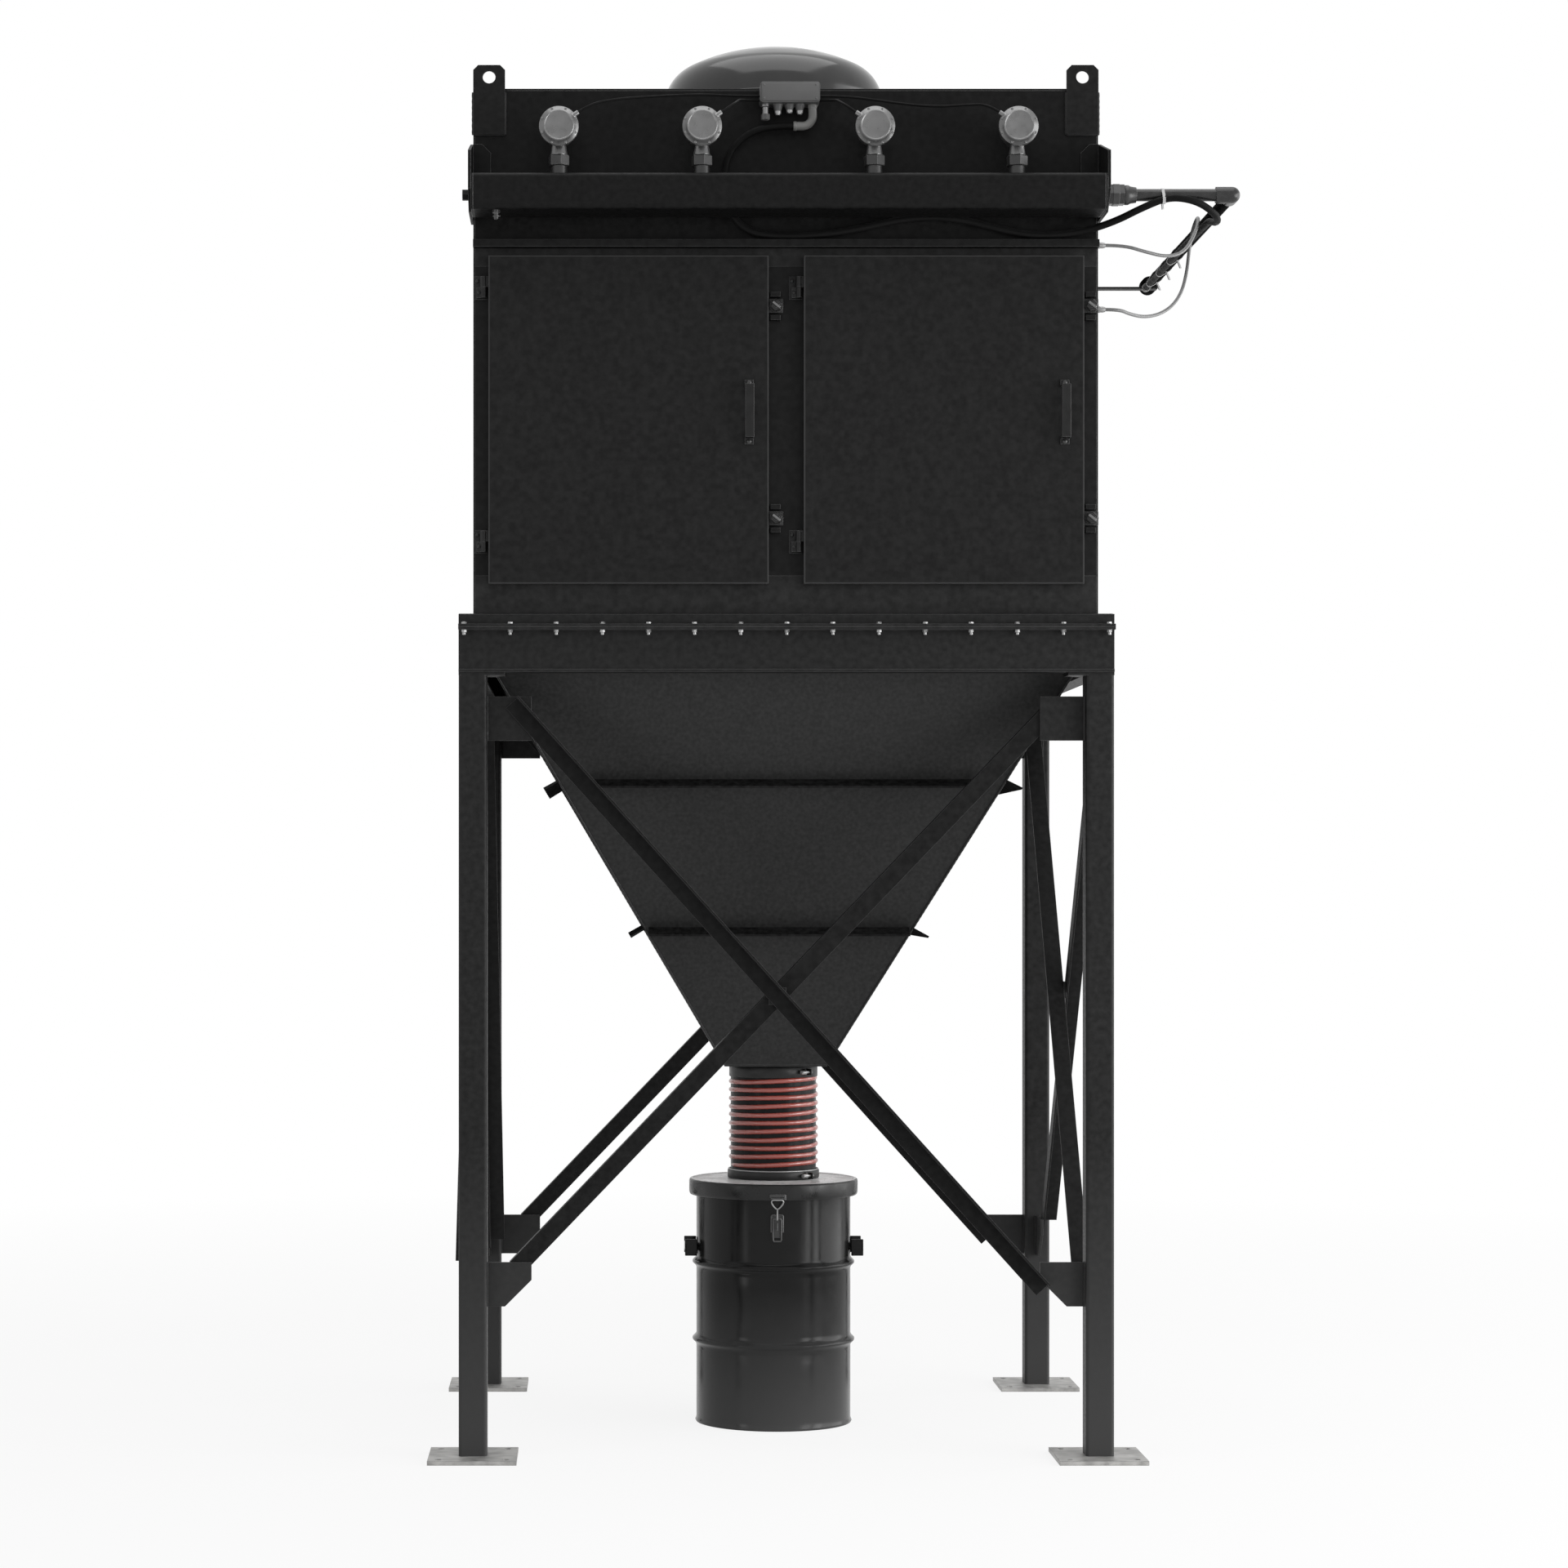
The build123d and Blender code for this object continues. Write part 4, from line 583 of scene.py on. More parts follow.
for x in VALVE_X:
    pulse_valves.lathe(VALVE_COVER, Vector((x, VALVE_BACK, VALVE_Z)), -Y_AXIS, 64)
    pulse_valves.lathe(VALVE_NECK, Vector((x, NECK_Y, NECK_Z)), Z_AXIS, 36)
    seat = Vector((x, NECK_Y, header_high.z))
    couplings.lathe(COUPLING_STUB, seat, Z_AXIS, 36)
    couplings.lathe(COUPLING_NUT, seat, Z_AXIS, 6, COUPLING_TURN)
    inward = -math.copysign(1, x)
    plug_way = Vector((inward * math.cos(PLUG_ANGLE), 0, math.sin(PLUG_ANGLE)))
    pulse_valves.lathe(VALVE_PLUG, Vector((x, PLUG_Y, VALVE_Z)), plug_way, 16)
    for k in range(COVER_BOLTS):
        angle = (2 * k + 1) * math.pi / COVER_BOLTS
        place = Vector((x + COVER_BOLT_R * math.cos(angle), COVER_BOLT_Y, VALVE_Z + COVER_BOLT_R * math.sin(angle)))
        hex_head(valve_bolts, place, -Y_AXIS, 6.5 * MM, 5 * MM, angle)
pulse_valves.piece("pulse_valve_castings", "cast_aluminium", replaces=("pulse_valves",), angle=28)
couplings.piece("coupling_nuts", "zinc_steel", dark_fitting, replaces=("valve_couplings",), angle=28)
valve_bolts.piece("valve_cover_bolts", "cast_aluminium")


# Outlet cowl: a spun dome with a rolled lower edge

COWL_R = cowl_high.x
COWL_SHEET = 3 * MM
COWL_STEPS = 144
ROLL_R, ROLL_INSET = 3.5 * MM, 1.5 * MM
KNUCKLE_R = 0.11
KNUCKLE_X = COWL_R - KNUCKLE_R
KNUCKLE_Z = cowl_low.z + 25 * MM
DOME = cowl_high.z - KNUCKLE_Z
CROWN_R = (KNUCKLE_X ** 2 + DOME ** 2 - KNUCKLE_R ** 2) / (2 * (DOME - KNUCKLE_R))
knuckle_turn = math.degrees(math.atan2(CROWN_R - DOME, KNUCKLE_X))
cowl_outer = [(COWL_R, cowl_low.z), *arc((KNUCKLE_X, KNUCKLE_Z), KNUCKLE_R, 0, knuckle_turn, 20),
              *arc((0, cowl_high.z - CROWN_R), CROWN_R, knuckle_turn, 88, 14)[1:]]
cowl_inner = [(r - COWL_SHEET, z - (COWL_SHEET if z > KNUCKLE_Z else 0)) for r, z in reversed(cowl_outer)]
cowl = Shape()
cowl.lathe([(0, cowl_high.z - COWL_SHEET), *cowl_inner, *cowl_outer, (0, cowl_high.z)], ORIGIN, steps=COWL_STEPS)
cowl.ring(arc((COWL_R - ROLL_INSET, cowl_low.z + ROLL_R), ROLL_R, 0, 324, 9), ORIGIN, steps=COWL_STEPS)
cowl.piece("spun_cowl", "grey_enamel", replaces=("outlet_cowl",), angle=50)


# Hose: one rib wound round a plain wall, and a clamp with a bolt at each end

HOSE_R, HOSE_BORE = 0.129, 0.1252
RIB_R, RIB_THICK = 0.1348, 7.6 * MM
# The rib's turns count from its lowest one, and its two ends sink into the wall
RIB_LOW_Z, RIB_PITCH = 0.782, 0.0251
RIB_START, RIB_END, RIB_STEPS = -0.3, 10.35, 72
RIB_SINK, RIB_SINK_TURNS = 9 * MM, 0.25
RIB_WAVE, RIB_WAVES = 1.1 * MM, 2.3
hose = Shape()
hose.ring([(HOSE_BORE, hose_low.z), (HOSE_R, hose_low.z), (HOSE_R, hose_high.z), (HOSE_BORE, hose_high.z)], ORIGIN)
rib_points = []
for i in range(round((RIB_END - RIB_START) * RIB_STEPS) + 1):
    turns = RIB_START + i / RIB_STEPS
    left = min(turns - RIB_START, RIB_END - turns)
    reach = RIB_R - RIB_THICK - RIB_SINK * max(0.0, 1 - left / RIB_SINK_TURNS) ** 2
    angle = 2 * math.pi * turns - math.pi / 2
    level = RIB_LOW_Z + turns * RIB_PITCH + RIB_WAVE * math.sin(2 * math.pi * RIB_WAVES * turns)
    rib_points.append(Vector((reach * math.cos(angle), reach * math.sin(angle), level)))
hose.tube(rib_points, RIB_THICK, 20)
hose.piece("ribbed_hose", "hose_rubber", replaces=("discharge_hose",), angle=60)

# Low edge, high edge, inner radius and outer radius
CLAMPS = ((0.737, 0.7605, 0.1255, 0.1385), (1.043, 1.0765, 0.1292, 0.1335))
CLAMP_EASE, CLAMP_CHAMFER = 1 * MM, 1.5 * MM
CLAMP_ANGLE = math.radians(-47)
# Side of the gap and reach of each ear
CLAMP_EARS = ((-1, 12 * MM), (1, 22 * MM))
CLAMP_GAP, CLAMP_EAR_SINK, CLAMP_EAR_SECTION = 8 * MM, 2 * MM, (4 * MM, 20 * MM)
CLAMP_BOLT_OUT, CLAMP_NUT_ALONG = 10 * MM, 10 * MM
CLAMP_BARREL = [(0, -0.027), (0.005, -0.027), (0.007, -0.025), (0.007, -0.008), (0.005, -0.006), (0.004, -0.006),
                (0.004, 0.017), (0, 0.017)]
CLAMP_WIRE = arc((0.1345, 0.7625), 2.6 * MM, 0, 330, 11)
clamp_out = Vector((math.cos(CLAMP_ANGLE), math.sin(CLAMP_ANGLE), 0))
clamp_along = Z_AXIS.cross(clamp_out)
clamps = Shape()
clamp_screws = Shape()
for low, high, inner, outer in CLAMPS:
    clamps.ring([(inner, low), (outer - CLAMP_EASE, low), (outer, low + CLAMP_CHAMFER), (outer, high - CLAMP_CHAMFER),
                 (outer - CLAMP_EASE, high), (inner, high)], ORIGIN)
    level = (low + high) / 2
    for end, reach in CLAMP_EARS:
        middle = clamp_out * (outer - CLAMP_EAR_SINK + reach / 2) + clamp_along * end * CLAMP_GAP + Z_AXIS * level
        clamps.block(middle, (clamp_out, clamp_along, Z_AXIS), (reach, *CLAMP_EAR_SECTION), FINE_EDGE)
    bolt = clamp_out * (outer + CLAMP_BOLT_OUT) + Z_AXIS * level
    clamp_screws.lathe(CLAMP_BARREL, bolt, clamp_along, 18)
    hex_head(clamp_screws, bolt + clamp_along * CLAMP_NUT_ALONG, clamp_along, 13 * MM, 6 * MM)
clamps.piece("clamp_bands", "zinc_steel", MATERIALS["pipe_steel"], replaces=("hose_clamps",))
clamp_screws.ring(CLAMP_WIRE, ORIGIN)
clamp_screws.piece("clamp_screws", "zinc_steel")


# Drum: rolled hoops and chimes, lid with a curled rim, toggles and handles

DRUM_R = 0.233
DRUM_STEPS = 128
DRUM_BASE = [(0, 0.006), (0.222, 0.006), (0.226, 0), (0.2345, 0), (0.2365, 0.004), (0.2345, 0.009), (DRUM_R, 0.014)]
DRUM_RIM = [(DRUM_R, 0.722), (0.2335, 0.729), (0.2305, 0.7308), (0.2285, 0.728), (0.23, 0.72), (0.23, 0.012),
            (0, 0.012)]
# Start of each plain stretch and the level of the hoop above it
HOOPS = ((0.025, 0.25), (0.28, 0.483))
HOOP_RISE, HOOP_CLEAR, PLAIN_STEPS = 0.012, 0.03, 12
HOOP_CURVE = ((-18, 0.0), (-12, 0.18), (-7, 0.62), (-3, 0.95), (0, 1.0), (3, 0.95), (7, 0.62), (12, 0.18),
              (18, 0.0))
# Turn in degrees, height, half width, half height and depth
DENTS = ((-113, 0.468, 0.06, 0.024, 2.8 * MM), (-104, 0.238, 0.07, 0.026, 2.8 * MM),
         (-72, 0.225, 0.06, 0.024, 2.4 * MM), (-126, 0.36, 0.05, 0.07, 2 * MM), (60, 0.46, 0.06, 0.03, 2.6 * MM))
LID_PROFILE = [(0.121, 0.092), (0.1225, 0.0925), (0.1245, 0.092), (0.125, 0.089), (0.125, 0.052), (0.129, 0.05),
               (0.136, 0.0485), (0.238, 0.045), (0.2425, 0.0465), (0.2465, 0.048), (0.251, 0.047), (0.254, 0.044),
               (0.255, 0.039), (0.2548, 0.009), (0.2535, 0.003), (0.2515, 0), (0.2495, 0.003), (0.2505, 0.01),
               (0.2505, 0.039), (0.247, 0.0442), (0.121, 0.0442)]
drum_profile = list(DRUM_BASE)
for start, level in HOOPS:
    run = level - HOOP_CLEAR - start
    drum_profile += [(DRUM_R, start + i * run / PLAIN_STEPS) for i in range(PLAIN_STEPS + 1)]
    drum_profile += [(DRUM_R + rise * HOOP_RISE, level + offset * MM) for offset, rise in HOOP_CURVE]
drum_profile += DRUM_RIM
drum = Shape()
drum.lathe(drum_profile, ORIGIN, steps=DRUM_STEPS)
for turn, height, wide, tall, depth in DENTS:
    for vert in drum.mesh.verts:
        along = DRUM_R * math.remainder(math.atan2(vert.co.y, vert.co.x) - math.radians(turn), 2 * math.pi)
        share = math.exp(-(along / wide) ** 2 - ((vert.co.z - height) / tall) ** 2)
        vert.co -= Vector((vert.co.x, vert.co.y, 0)).normalized() * depth * share
drum.piece("drum_shell", "drum_enamel", replaces=("drum_body",), angle=50)
lid = Shape()
lid.ring(LID_PROFILE, Vector((0, 0, lid_low.z)), steps=DRUM_STEPS)
lid.piece("drum_cover", "drum_enamel", lid_enamel, replaces=("drum_lid",), angle=50)

HANDLE_IN, HANDLE_OUT, HANDLE_HALF, HANDLE_STRAP = 0.2325, 0.269, 55 * MM, 6 * MM
HANDLE_LOW, HANDLE_HIGH = 0.503, 0.553
GRIP_LOW, GRIP_HIGH = 0.5155, 0.5405
handles = Shape()
for side in SIDES:
    low_x, high_x = sorted((side * HANDLE_IN, side * HANDLE_OUT))
    for end in SIDES:
        low_y, high_y = sorted((end * (HANDLE_HALF - HANDLE_STRAP), end * HANDLE_HALF))
        handles.box((low_x, low_y, HANDLE_LOW), (high_x, high_y, HANDLE_HIGH), SOFT_EDGE)
    low_x, high_x = sorted((side * (HANDLE_OUT - HANDLE_STRAP), side * HANDLE_OUT))
    handles.box((low_x, -HANDLE_HALF, GRIP_LOW), (high_x, HANDLE_HALF, GRIP_HIGH), SOFT_EDGE)
handles.piece("drum_handles", "drum_enamel", replaces=("drum_fittings",), angle=40)

TOGGLE_COUNT = 3
# Across and up, in millimetres
WIRE_LOOP = ((0, 661), (5, 663.5), (11, 670), (16, 677), (18, 683), (16, 687.5), (11, 689), (0, 688.5),
             (-11, 689), (-16, 687.5), (-18, 683), (-16, 677), (-11, 670), (-5, 663.5))
WIRE_FOOT, WIRE_REACH, WIRE_LEAN = 661, 252, 0.22
toggles = Shape()
toggle_wire = Shape()


def toggle(angle):
    """A drum latch: a catch on the lid's rim, a lever on a plate below it, and the wire between them."""
    out = Vector((math.cos(angle), math.sin(angle), 0))
    across = Z_AXIS.cross(out)
    axes = (across, Z_AXIS, out)

    def at(side, height, reach):
        """A place by its offset across, its height and its distance from the drum's axis, in millimetres."""
        return across * side * MM + Z_AXIS * height * MM + out * reach * MM

    toggles.block(at(0, 701, 256), axes, Vector((46, 10, 5)) * MM, FINE_EDGE)
    toggles.tube([at(-20, 693, 258), at(20, 693, 258)], 2.6 * MM, 8)
    toggles.tube([at(22, 704, 258), at(23, 690, 259)], 3.4 * MM, 8)
    toggles.block(at(0, 610, 233.5), axes, Vector((30, 70, 4)) * MM, FINE_EDGE)
    for edge in SIDES:
        toggles.tube([at(edge * 7, 643, 236), at(edge * 14, 643, 237), at(edge * 17, 640, 237),
                      at(edge * 17, 592, 236)], 3 * MM, 8)
    toggles.tube([at(-10, 632, 243), at(-12, 628, 243), at(-12, 570, 241), at(-10, 565, 241), at(10, 565, 241),
                  at(12, 570, 241), at(12, 628, 243), at(10, 632, 243)], 2.6 * MM, 8, closed=True)
    toggles.tube([at(0, 618, 240), at(0, 598, 240)], 3.6 * MM, 8)
    loop = [at(side, height, WIRE_REACH + (height - WIRE_FOOT) * WIRE_LEAN) for side, height in WIRE_LOOP]
    toggle_wire.tube(loop, 2.3 * MM, 8, closed=True)
    toggle_wire.tube([at(0, 664, 252), at(0, 648, 247), at(0, 628, 243)], 2.6 * MM, 8)


for i in range(TOGGLE_COUNT):
    toggle(-math.pi / 2 + i * 2 * math.pi / TOGGLE_COUNT)
toggles.piece("drum_toggles", "drum_enamel", dark_fitting, angle=40)
toggle_wire.piece("toggle_wires", "zinc_steel")


# Welds at the lugs, the gussets and the hopper's corners

LUG_WELD, GUSSET_WELD, HOPPER_WELD = 4 * MM, 3.2 * MM, 3 * MM
LUG_WIDTH, LUG_WELD_DROP = 90 * MM, 6 * MM
LEG_INNER_X, LEG_INNER_Y = 0.844, 0.68
LEG_LINE_X, LEG_LINE_Y = 0.884, 0.72
GUSSET_LEVELS = ((0.43, 0.555), (2.03, 2.155))
GUSSET_OFFSET = 5 * MM
OUTLET_HALF, HOPPER_WELD_DROP = 0.153, 4 * MM
welds = Shape()
for side, face in ((-1, -1), (-1, 1), (1, -1), (1, 1)):
    y = face * -FRONT_WALL
    inner, outer = side * (lug_high.x - LUG_WIDTH), side * lug_high.x
    for x in (inner, outer):
        welds.weld((x, y, lug_low.z), (x, y, HOUSING_TOP - LUG_WELD_DROP), LUG_WELD)
    welds.weld((inner, y, lug_low.z), (outer, y, lug_low.z), LUG_WELD)
    for low, high in GUSSET_LEVELS:
        for skew in SIDES:
            y = face * (LEG_LINE_Y + skew * GUSSET_OFFSET)
            welds.weld((side * LEG_INNER_X, y, low), (side * LEG_INNER_X, y, high), GUSSET_WELD)
            x = side * (LEG_LINE_X + skew * GUSSET_OFFSET)
            welds.weld((x, face * LEG_INNER_Y, low), (x, face * LEG_INNER_Y, high), GUSSET_WELD)
    welds.weld((side * OUTLET_HALF, face * OUTLET_HALF, hopper_low.z),
               (side * hopper_high.x, face * hopper_high.y, hopper_high.z - HOPPER_WELD_DROP), HOPPER_WELD)
welds.piece("weld_beads", "black_paint", weld_metal, angle=70)


# Drain cock under the header and union nut on the air line

DRAIN_X, DRAIN_Y = -0.814, -0.89
DRAIN_STEM = [(0.006, 0.008), (0.006, 0.024), (0.004, 0.027), (0, 0.027)]
DRAIN_TAP = (Vector((-9, 0, -17)) * MM, Vector((11, 0, -17)) * MM)
UNION_BODY = [(0.0175, 0.046), (0.0255, 0.046), (0.0275, 0.049), (0.0275, 0.058), (0.024, 0.064), (0.0215, 0.08),
              (0.0175, 0.081)]
UNION_NUT = [(0.026, 0.012), (0.0325, 0.014), (0.0325, 0.032), (0.026, 0.034)]
drain = Shape()
drain_top = Vector((DRAIN_X, DRAIN_Y, header_low.z))
hex_head(drain, drain_top, -Z_AXIS, 18 * MM, 10 * MM)
drain.lathe(DRAIN_STEM, drain_top, -Z_AXIS, 16)
drain.tube([drain_top + end for end in DRAIN_TAP], 2.6 * MM, 8)
drain.piece("header_drain", "pipe_steel", dark_fitting)
union = Shape()
union_at = Vector((pipe_low.x, NECK_Y, (pipe_low.z + pipe_high.z) / 2))
union.lathe(UNION_BODY, union_at, X_AXIS, 32)
union.lathe(UNION_NUT, union_at, X_AXIS, 6)
union.piece("air_line_union", "zinc_steel", dark_fitting)


# Junction box: lid, screws, glands and the conduit's elbow

BOX_LID_X, BOX_LID_Z, BOX_LID_PROUD, BOX_LID_SINK = 4 * MM, 3 * MM, 4 * MM, 1 * MM
BOX_SCREW_X, BOX_SCREW_Z = 11 * MM, 10 * MM
box_lid = Shape()
lid_face = box_low.y - BOX_LID_PROUD
box_lid.box((box_low.x + BOX_LID_X, lid_face, box_low.z + BOX_LID_Z),
            (box_high.x - BOX_LID_X, box_low.y + BOX_LID_SINK, box_high.z - BOX_LID_Z), SOFT_EDGE)
for x in (box_low.x + BOX_SCREW_X, box_high.x - BOX_SCREW_X):
    for z in (box_low.z + BOX_SCREW_Z, box_high.z - BOX_SCREW_Z):
        pan_screw(box_lid, Vector((x, lid_face, z)), -Y_AXIS, 3 * MM, 1.5 * MM)
box_lid.piece("junction_box_lid", "grey_plastic")

GLAND_Y = -0.75
LONG_GLAND_X, LONG_GLAND_NUT = -0.059, 27 * MM
LONG_GLAND = [(0, 0), (0.011, 0), (0.011, 0.006), (0.0085, 0.008), (0.0085, 0.03), (0, 0.03)]
# Place across and length
SHORT_GLANDS = ((-0.024, 0.03), (0.009, 0.025), (0.038, 0.028))
GLAND_BODY_END, GLAND_NUT_START, GLAND_NUT_END = 0.62, 0.55, 0.8
WALL_GLAND_Y, WALL_GLAND_Z = -0.69, (3.436, 3.254)
WALL_GLAND = [(0.0085, 0.008), (0.0085, 0.017), (0.0068, 0.0235), (0.005, 0.024), (0, 0.024)]
glands = Shape()
gland_nuts = Shape()
under = Vector((LONG_GLAND_X, GLAND_Y, box_low.z))
gland_nuts.lathe(LONG_GLAND, under, -Z_AXIS, 24)
hex_head(glands, under - Z_AXIS * LONG_GLAND_NUT, -Z_AXIS, 22 * MM, 17 * MM, 0.3)
for x, drop in SHORT_GLANDS:
    under = Vector((x, GLAND_Y, box_low.z))
    body_end, nut_start, nut_end = drop * GLAND_BODY_END, drop * GLAND_NUT_START, drop * GLAND_NUT_END
    glands.lathe([(0, 0), (0.0145, 0), (0.0138, 0.004), (0.0098, body_end), (0, body_end)], under, -Z_AXIS, 24)
    gland_nuts.lathe([(0, nut_start), (0.0098, nut_start), (0.0098, nut_end), (0.007, drop), (0, drop)],
                     under, -Z_AXIS, 24)
for z in WALL_GLAND_Z:
    at_wall = Vector((wall_high.x, WALL_GLAND_Y, z))
    hex_head(gland_nuts, at_wall, X_AXIS, 18 * MM, 9 * MM, 0.2)
    gland_nuts.lathe(WALL_GLAND, at_wall, X_AXIS, 24)
glands.piece("gland_bodies", "grey_plastic", replaces=("cable_glands",))
gland_nuts.piece("gland_nuts", "zinc_steel")

ELBOW_X, ELBOW_END_X, ELBOW_Z = 0.074, 0.02, 3.762
ELBOW_BEND, ELBOW_R = 0.028, 12 * MM
COLLAR = [(0, 0), (0.0124, 0), (0.0132, 0.001), (0.0132, 0.008), (0.0124, 0.009), (0, 0.009)]
CONDUIT_END = Vector((1.21787, 0.56, 3.52737))
elbow = Shape()
elbow_top, elbow_end = Vector((ELBOW_X, GLAND_Y, box_low.z)), Vector((ELBOW_END_X, GLAND_Y, ELBOW_Z))
bend = arc((ELBOW_X - ELBOW_BEND, ELBOW_Z + ELBOW_BEND), ELBOW_BEND, 0, -90, 10)
elbow.tube([elbow_top, *[(x, GLAND_Y, z) for x, z in bend], elbow_end], ELBOW_R, 24)
elbow.lathe(COLLAR, elbow_top, -Z_AXIS, 28)
elbow.lathe(COLLAR, elbow_end, X_AXIS, 28)
fitting = glands_high.y - CONDUIT_END.y
elbow.lathe([(0, 0), (0.0122, 0), (0.013, 0.001), (0.013, fitting * 0.6), (0.0122, fitting * 0.63),
             (0.0122, fitting), (0, fitting)], CONDUIT_END, Y_AXIS, 28)
elbow.piece("conduit_elbow", "grey_plastic", pale_plastic, angle=40)


# Filter cartridges: pleated paper between dark end caps

CARTRIDGE_Y = (-0.429, 0, 0.429)
PLEATS, PLEAT_CREST, PLEAT_VALLEY, PLEAT_INSET = 90, 0.1605, 0.15, 18 * MM
LOW_CAP = [(0, 0), (0.158, 0), (0.162, 0.004), (0.162, 0.02), (0.16, 0.022), (0, 0.022)]
HIGH_CAP = [(0.11, 0), (0.16, 0), (0.162, 0.002), (0.162, 0.022), (0.11, 0.022)]
HIGH_CAP_THICK = 22 * MM
media = Shape()
caps = Shape()
for x in VALVE_X:
    for y in CARTRIDGE_Y:
        rings = []
        for z in (cart_low.z + PLEAT_INSET, cart_high.z - PLEAT_INSET):
            ring = []
            for i in range(2 * PLEATS):
                angle = math.pi * i / PLEATS
                r = PLEAT_CREST if i % 2 else PLEAT_VALLEY
                ring.append(media.mesh.verts.new((x + r * math.cos(angle), y + r * math.sin(angle), z)))
            rings.append(ring)
        media.skin(rings)
        caps.lathe(LOW_CAP, Vector((x, y, cart_low.z)), Z_AXIS, 48)
        caps.ring(HIGH_CAP, Vector((x, y, cart_high.z - HIGH_CAP_THICK)), Z_AXIS, 48)
media.piece("cartridge_pleats", "filter_media", replaces=("filter_cartridges",), angle=10)
caps.piece("cartridge_caps", "filter_media", pleat_cap)


# Cords

def cord(name, node, slot, route, diameter):
    """A cord along a route given in millimetres, from the object back into it."""
    data = bpy.data.curves.new(name, "CURVE")
    data.dimensions = "3D"
    data.resolution_u = 12
    data.bevel_depth = diameter / 2
    data.bevel_resolution = 4
    data.use_fill_caps = True
    spline = data.splines.new("NURBS")
    spline.points.add(len(route) - 1)
    for point, place in zip(spline.points, route):
        point.co = (*[value * MM for value in place], 1)
    spline.order_u = 3
    spline.use_endpoint_u = True
    data.materials.append(MATERIALS[slot])
    made = add(name, data)
    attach(made, "collector")
    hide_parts(node)


LEAD_Y = -881
LEAD_RUNS = ((85.19, 3794.65), (54.06, 3772.86))


def lead_end(valve_x):
    """The last two points of a lead, in line with its valve's plug."""
    inward = -math.copysign(1, valve_x)
    return [(valve_x / MM + inward * run, LEAD_Y, height) for run, height in LEAD_RUNS]


LEADS = {
    "outer_left": (0.5417, [(-75, -750, 3846), (-145, -750, 3846), (-235, -764, 3848), (-330, -795, 3838),
                            (-415, -828, 3826), (-490, -858, 3813), *lead_end(VALVE_X[0])]),
    "inner_left": (0.2081, [(-75, -750, 3834), (-112, -750, 3834), (-135, -790, 3827), (-142, -835, 3812),
                            *lead_end(VALVE_X[1])]),
    "inner_right": (0.2004, [(93, -750, 3834), (130, -750, 3834), (141, -795, 3825), (145, -838, 3811),
                             *lead_end(VALVE_X[2])]),
    "outer_right": (0.5245, [(93, -750, 3846), (165, -750, 3846), (255, -762, 3832), (345, -784, 3814),
                             (430, -815, 3802), (500, -850, 3800), *lead_end(VALVE_X[3])]),
}
for hand, (length, route) in LEADS.items():
    cord("lead_" + hand, "valve_lead_" + hand, "black_cable", route, 0.007)

CONDUIT = [
    (20, -750, 3762), (-45, -750, 3762), (-112, -748, 3740), (-160, -744, 3692), (-176, -740, 3628),
    (-170, -740, 3560), (-148, -738, 3502), (-100, -735, 3465), (-30, -733, 3455), (60, -733, 3456),
    (150, -735, 3465), (235, -738, 3481), (320, -740, 3500), (408, -741, 3508), (500, -740, 3500),
    (590, -736, 3477), (680, -733, 3458), (765, -734, 3457), (850, -745, 3468), (925, -790, 3487),
    (985, -850, 3511), (1060, -870, 3540), (1135, -874, 3528), (1190, -845, 3500), (1212, -785, 3489),
    (1215, -715, 3496), (1218, -640, 3513), (1217.87, -560, 3527.37), (1217.87, 560, 3527.37),
]
cord("conduit", "control_conduit", "black_cable", CONDUIT, 0.02)

SIGNAL = [
    (908, -690, 3436), (962, -690, 3436), (1025, -675, 3420), (1090, -640, 3412), (1145, -595, 3432),
    (1178, -560, 3480), (1198, -528, 3526), (1207, -484, 3556), (1207, -436, 3554), (1201, -398, 3522),
    (1196, -384, 3470), (1188, -394, 3410), (1170, -420, 3350), (1135, -465, 3300), (1085, -520, 3266),
    (1032, -580, 3250), (985, -640, 3249), (948, -690, 3254), (908, -690, 3254),
]
cord("sensor_cable", "signal_cable", "grey_cable", SIGNAL, 0.01)


# Cable ties round the pipe and the conduit

PIPE_R, CONDUIT_R = 17 * MM, 10 * MM
TIE_WIDTH, TIE_THICK, TIE_STEPS = 8 * MM, 1.4 * MM, 14
TIE_HEAD = (7 * MM, 7 * MM, 6 * MM)
TAIL_WIDTH, TAIL_THICK = 7 * MM, 2 * MM
ties = Shape()


def tie(pipe, conduit, along, tail):
    """A strap drawn tight round two round bars, with a head and a cut tail."""
    gap = conduit - pipe
    toward = gap.normalized()
    aside = along.cross(toward)
    reach = math.degrees(math.acos((PIPE_R - CONDUIT_R) / gap.length))
    points, outs = [], []
    for centre, radius, start, end in ((pipe, PIPE_R, reach, 360 - reach), (conduit, CONDUIT_R, -reach, reach)):
        for u, v in arc((0, 0), 1, start, end, TIE_STEPS):
            out = toward * u + aside * v
            outs.append(out)
            points.append(centre + out * radius)
    ties.band(points, outs, along, TIE_WIDTH, TIE_THICK)
    head = pipe - Z_AXIS * (PIPE_R + TIE_HEAD[2] / 2)
    ties.block(head, (X_AXIS, Y_AXIS, Z_AXIS), TIE_HEAD, 1 * MM)
    way = tail.normalized()
    side = way.orthogonal().normalized()
    ties.block(head + tail / 2, (way, side, way.cross(side)), (tail.length, TAIL_WIDTH, TAIL_THICK), 0.6 * MM)


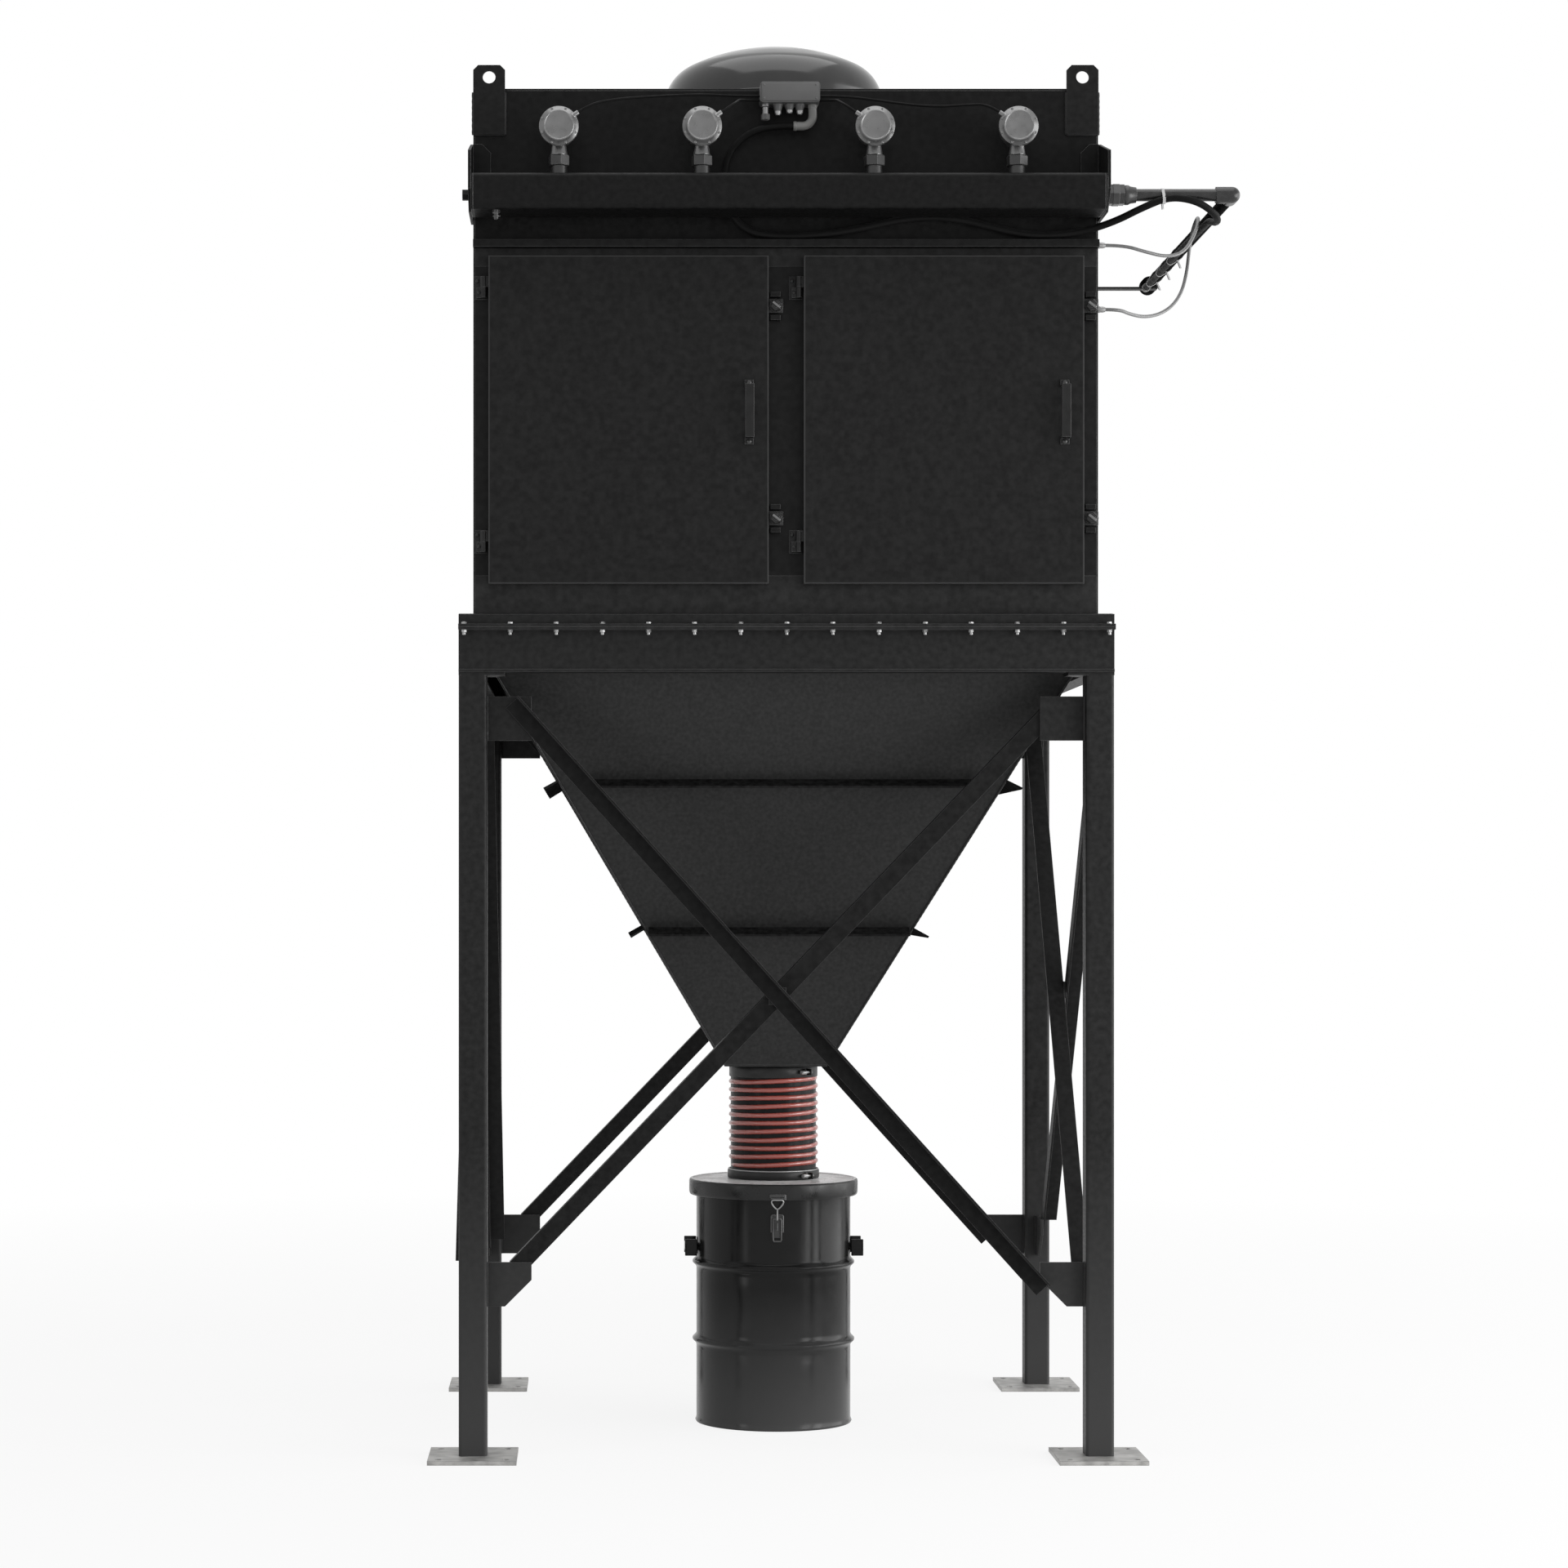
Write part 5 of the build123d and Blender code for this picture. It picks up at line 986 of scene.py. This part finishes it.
SIDE_PIPE_X, PIPE_Z = 1.24, 3.5495
SIDE_TIES_Y, SIDE_TAIL = (0.09, 0.3, 0.49), Vector((8, -6, -24)) * MM
FRONT_TIE_X, FRONT_TAIL = 1.046, Vector((2, 6, -18)) * MM
FRONT_CONDUIT_Y, FRONT_CONDUIT_Z = -0.866, 3.531
for y in SIDE_TIES_Y:
    tie(Vector((SIDE_PIPE_X, y, PIPE_Z)), Vector((CONDUIT_END.x, y, CONDUIT_END.z)), Y_AXIS, SIDE_TAIL)
tie(Vector((FRONT_TIE_X, NECK_Y, PIPE_Z)), Vector((FRONT_TIE_X, FRONT_CONDUIT_Y, FRONT_CONDUIT_Z)), X_AXIS,
    FRONT_TAIL)
ties.piece("cable_ties", "grey_plastic", tie_nylon, angle=40)


# Camera

camera_data = bpy.data.cameras.new("camera")
camera = add("camera", camera_data)
camera.location = (-0.527, -10.76, 1.628)
camera.rotation_euler = (math.pi / 2, 0, 0)
camera_data.sensor_width = 36
camera_data.lens = 81.5
camera_data.shift_x = 0.1177
camera_data.shift_y = 0.063
scene.camera = camera


# Floor, light and background

def background_rays(tree):
    """One for rays from the camera and rays seen in metal or glass, else zero."""
    path = tree.nodes.new("ShaderNodeLightPath")
    kinds = ("Is Camera Ray", "Is Glossy Ray", "Is Transmission Ray")
    return largest(tree, [path.outputs[kind] for kind in kinds])


def show(tree, share, plain, seen, output):
    """Sends a mix of two shaders to an output: the plain one, and the one that is seen by a share."""
    both = tree.nodes.new("ShaderNodeMixShader")
    for socket, value in zip(both.inputs, (share, plain, seen)):
        tree.links.new(value, socket)
    tree.links.new(both.outputs["Shader"], tree.nodes[output].inputs["Surface"])


FLOOR_REACH, FLOOR_WHITE = (3.0, 8.0), (0.86, 1.0)


def floor_material():
    """A pale floor that keeps its shadow near the object and fades to white."""
    material = bpy.data.materials.new("floor")
    material.use_nodes = True
    tree = material.node_tree
    shader = tree.nodes["Principled BSDF"]
    shader.inputs["Base Color"].default_value = (0.8, 0.8, 0.8, 1)
    shader.inputs["Roughness"].default_value = 0.9
    shader.inputs["Specular IOR Level"].default_value = 0.1
    glow = tree.nodes.new("ShaderNodeEmission")
    glow.inputs["Color"].default_value = (1, 1, 1, 1)
    glow.inputs["Strength"].default_value = 1.0
    place = tree.nodes.new("ShaderNodeNewGeometry").outputs["Position"]
    white = remap(tree, number(tree, "VectorMath", "LENGTH", place), FLOOR_REACH, FLOOR_WHITE)
    share = number(tree, "Math", "MULTIPLY", background_rays(tree), white)
    show(tree, share, shader.outputs["BSDF"], glow.outputs["Emission"], "Material Output")
    return material


bpy.ops.mesh.primitive_plane_add(size=120, location=(0, 0, -0.001))
floor = bpy.context.object
floor.name = "floor"
floor.data.materials.append(floor_material())

WORLD_LIGHT = 0.45
world = bpy.data.worlds.new("world")
world.use_nodes = True
tree = world.node_tree
lit = tree.nodes["Background"]
lit.inputs["Color"].default_value = (1, 1, 1, 1)
lit.inputs["Strength"].default_value = WORLD_LIGHT
seen = tree.nodes.new("ShaderNodeBackground")
seen.inputs["Color"].default_value = (1, 1, 1, 1)
seen.inputs["Strength"].default_value = 1.0
show(tree, background_rays(tree), lit.outputs["Background"], seen.outputs["Background"], "World Output")
scene.world = world


def softbox(name, place, aim, size, power):
    """An area light that looks at a point."""
    data = bpy.data.lights.new(name, "AREA")
    data.shape = "RECTANGLE"
    data.size, data.size_y = size
    data.energy = power
    lamp = add(name, data)
    lamp.location = place
    lamp.rotation_euler = (Vector(aim) - Vector(place)).to_track_quat("-Z", "Y").to_euler()


softbox("right_light", (8.0, 0.2, 3.0), (0, 0, 2.0), (8.0, 6.0), 400)
softbox("left_light", (-6.5, -5.5, 1.6), (0, 0, 1.2), (2.0, 3.2), 60)
softbox("side_light", (6.0, -4.0, 1.8), (0, 0, 0.8), (4.0, 4.4), 310)
softbox("top_light", (0, -1.0, 9.0), (0, 0, 2.0), (7.0, 7.0), 260)
scene.view_settings.view_transform = "Standard"
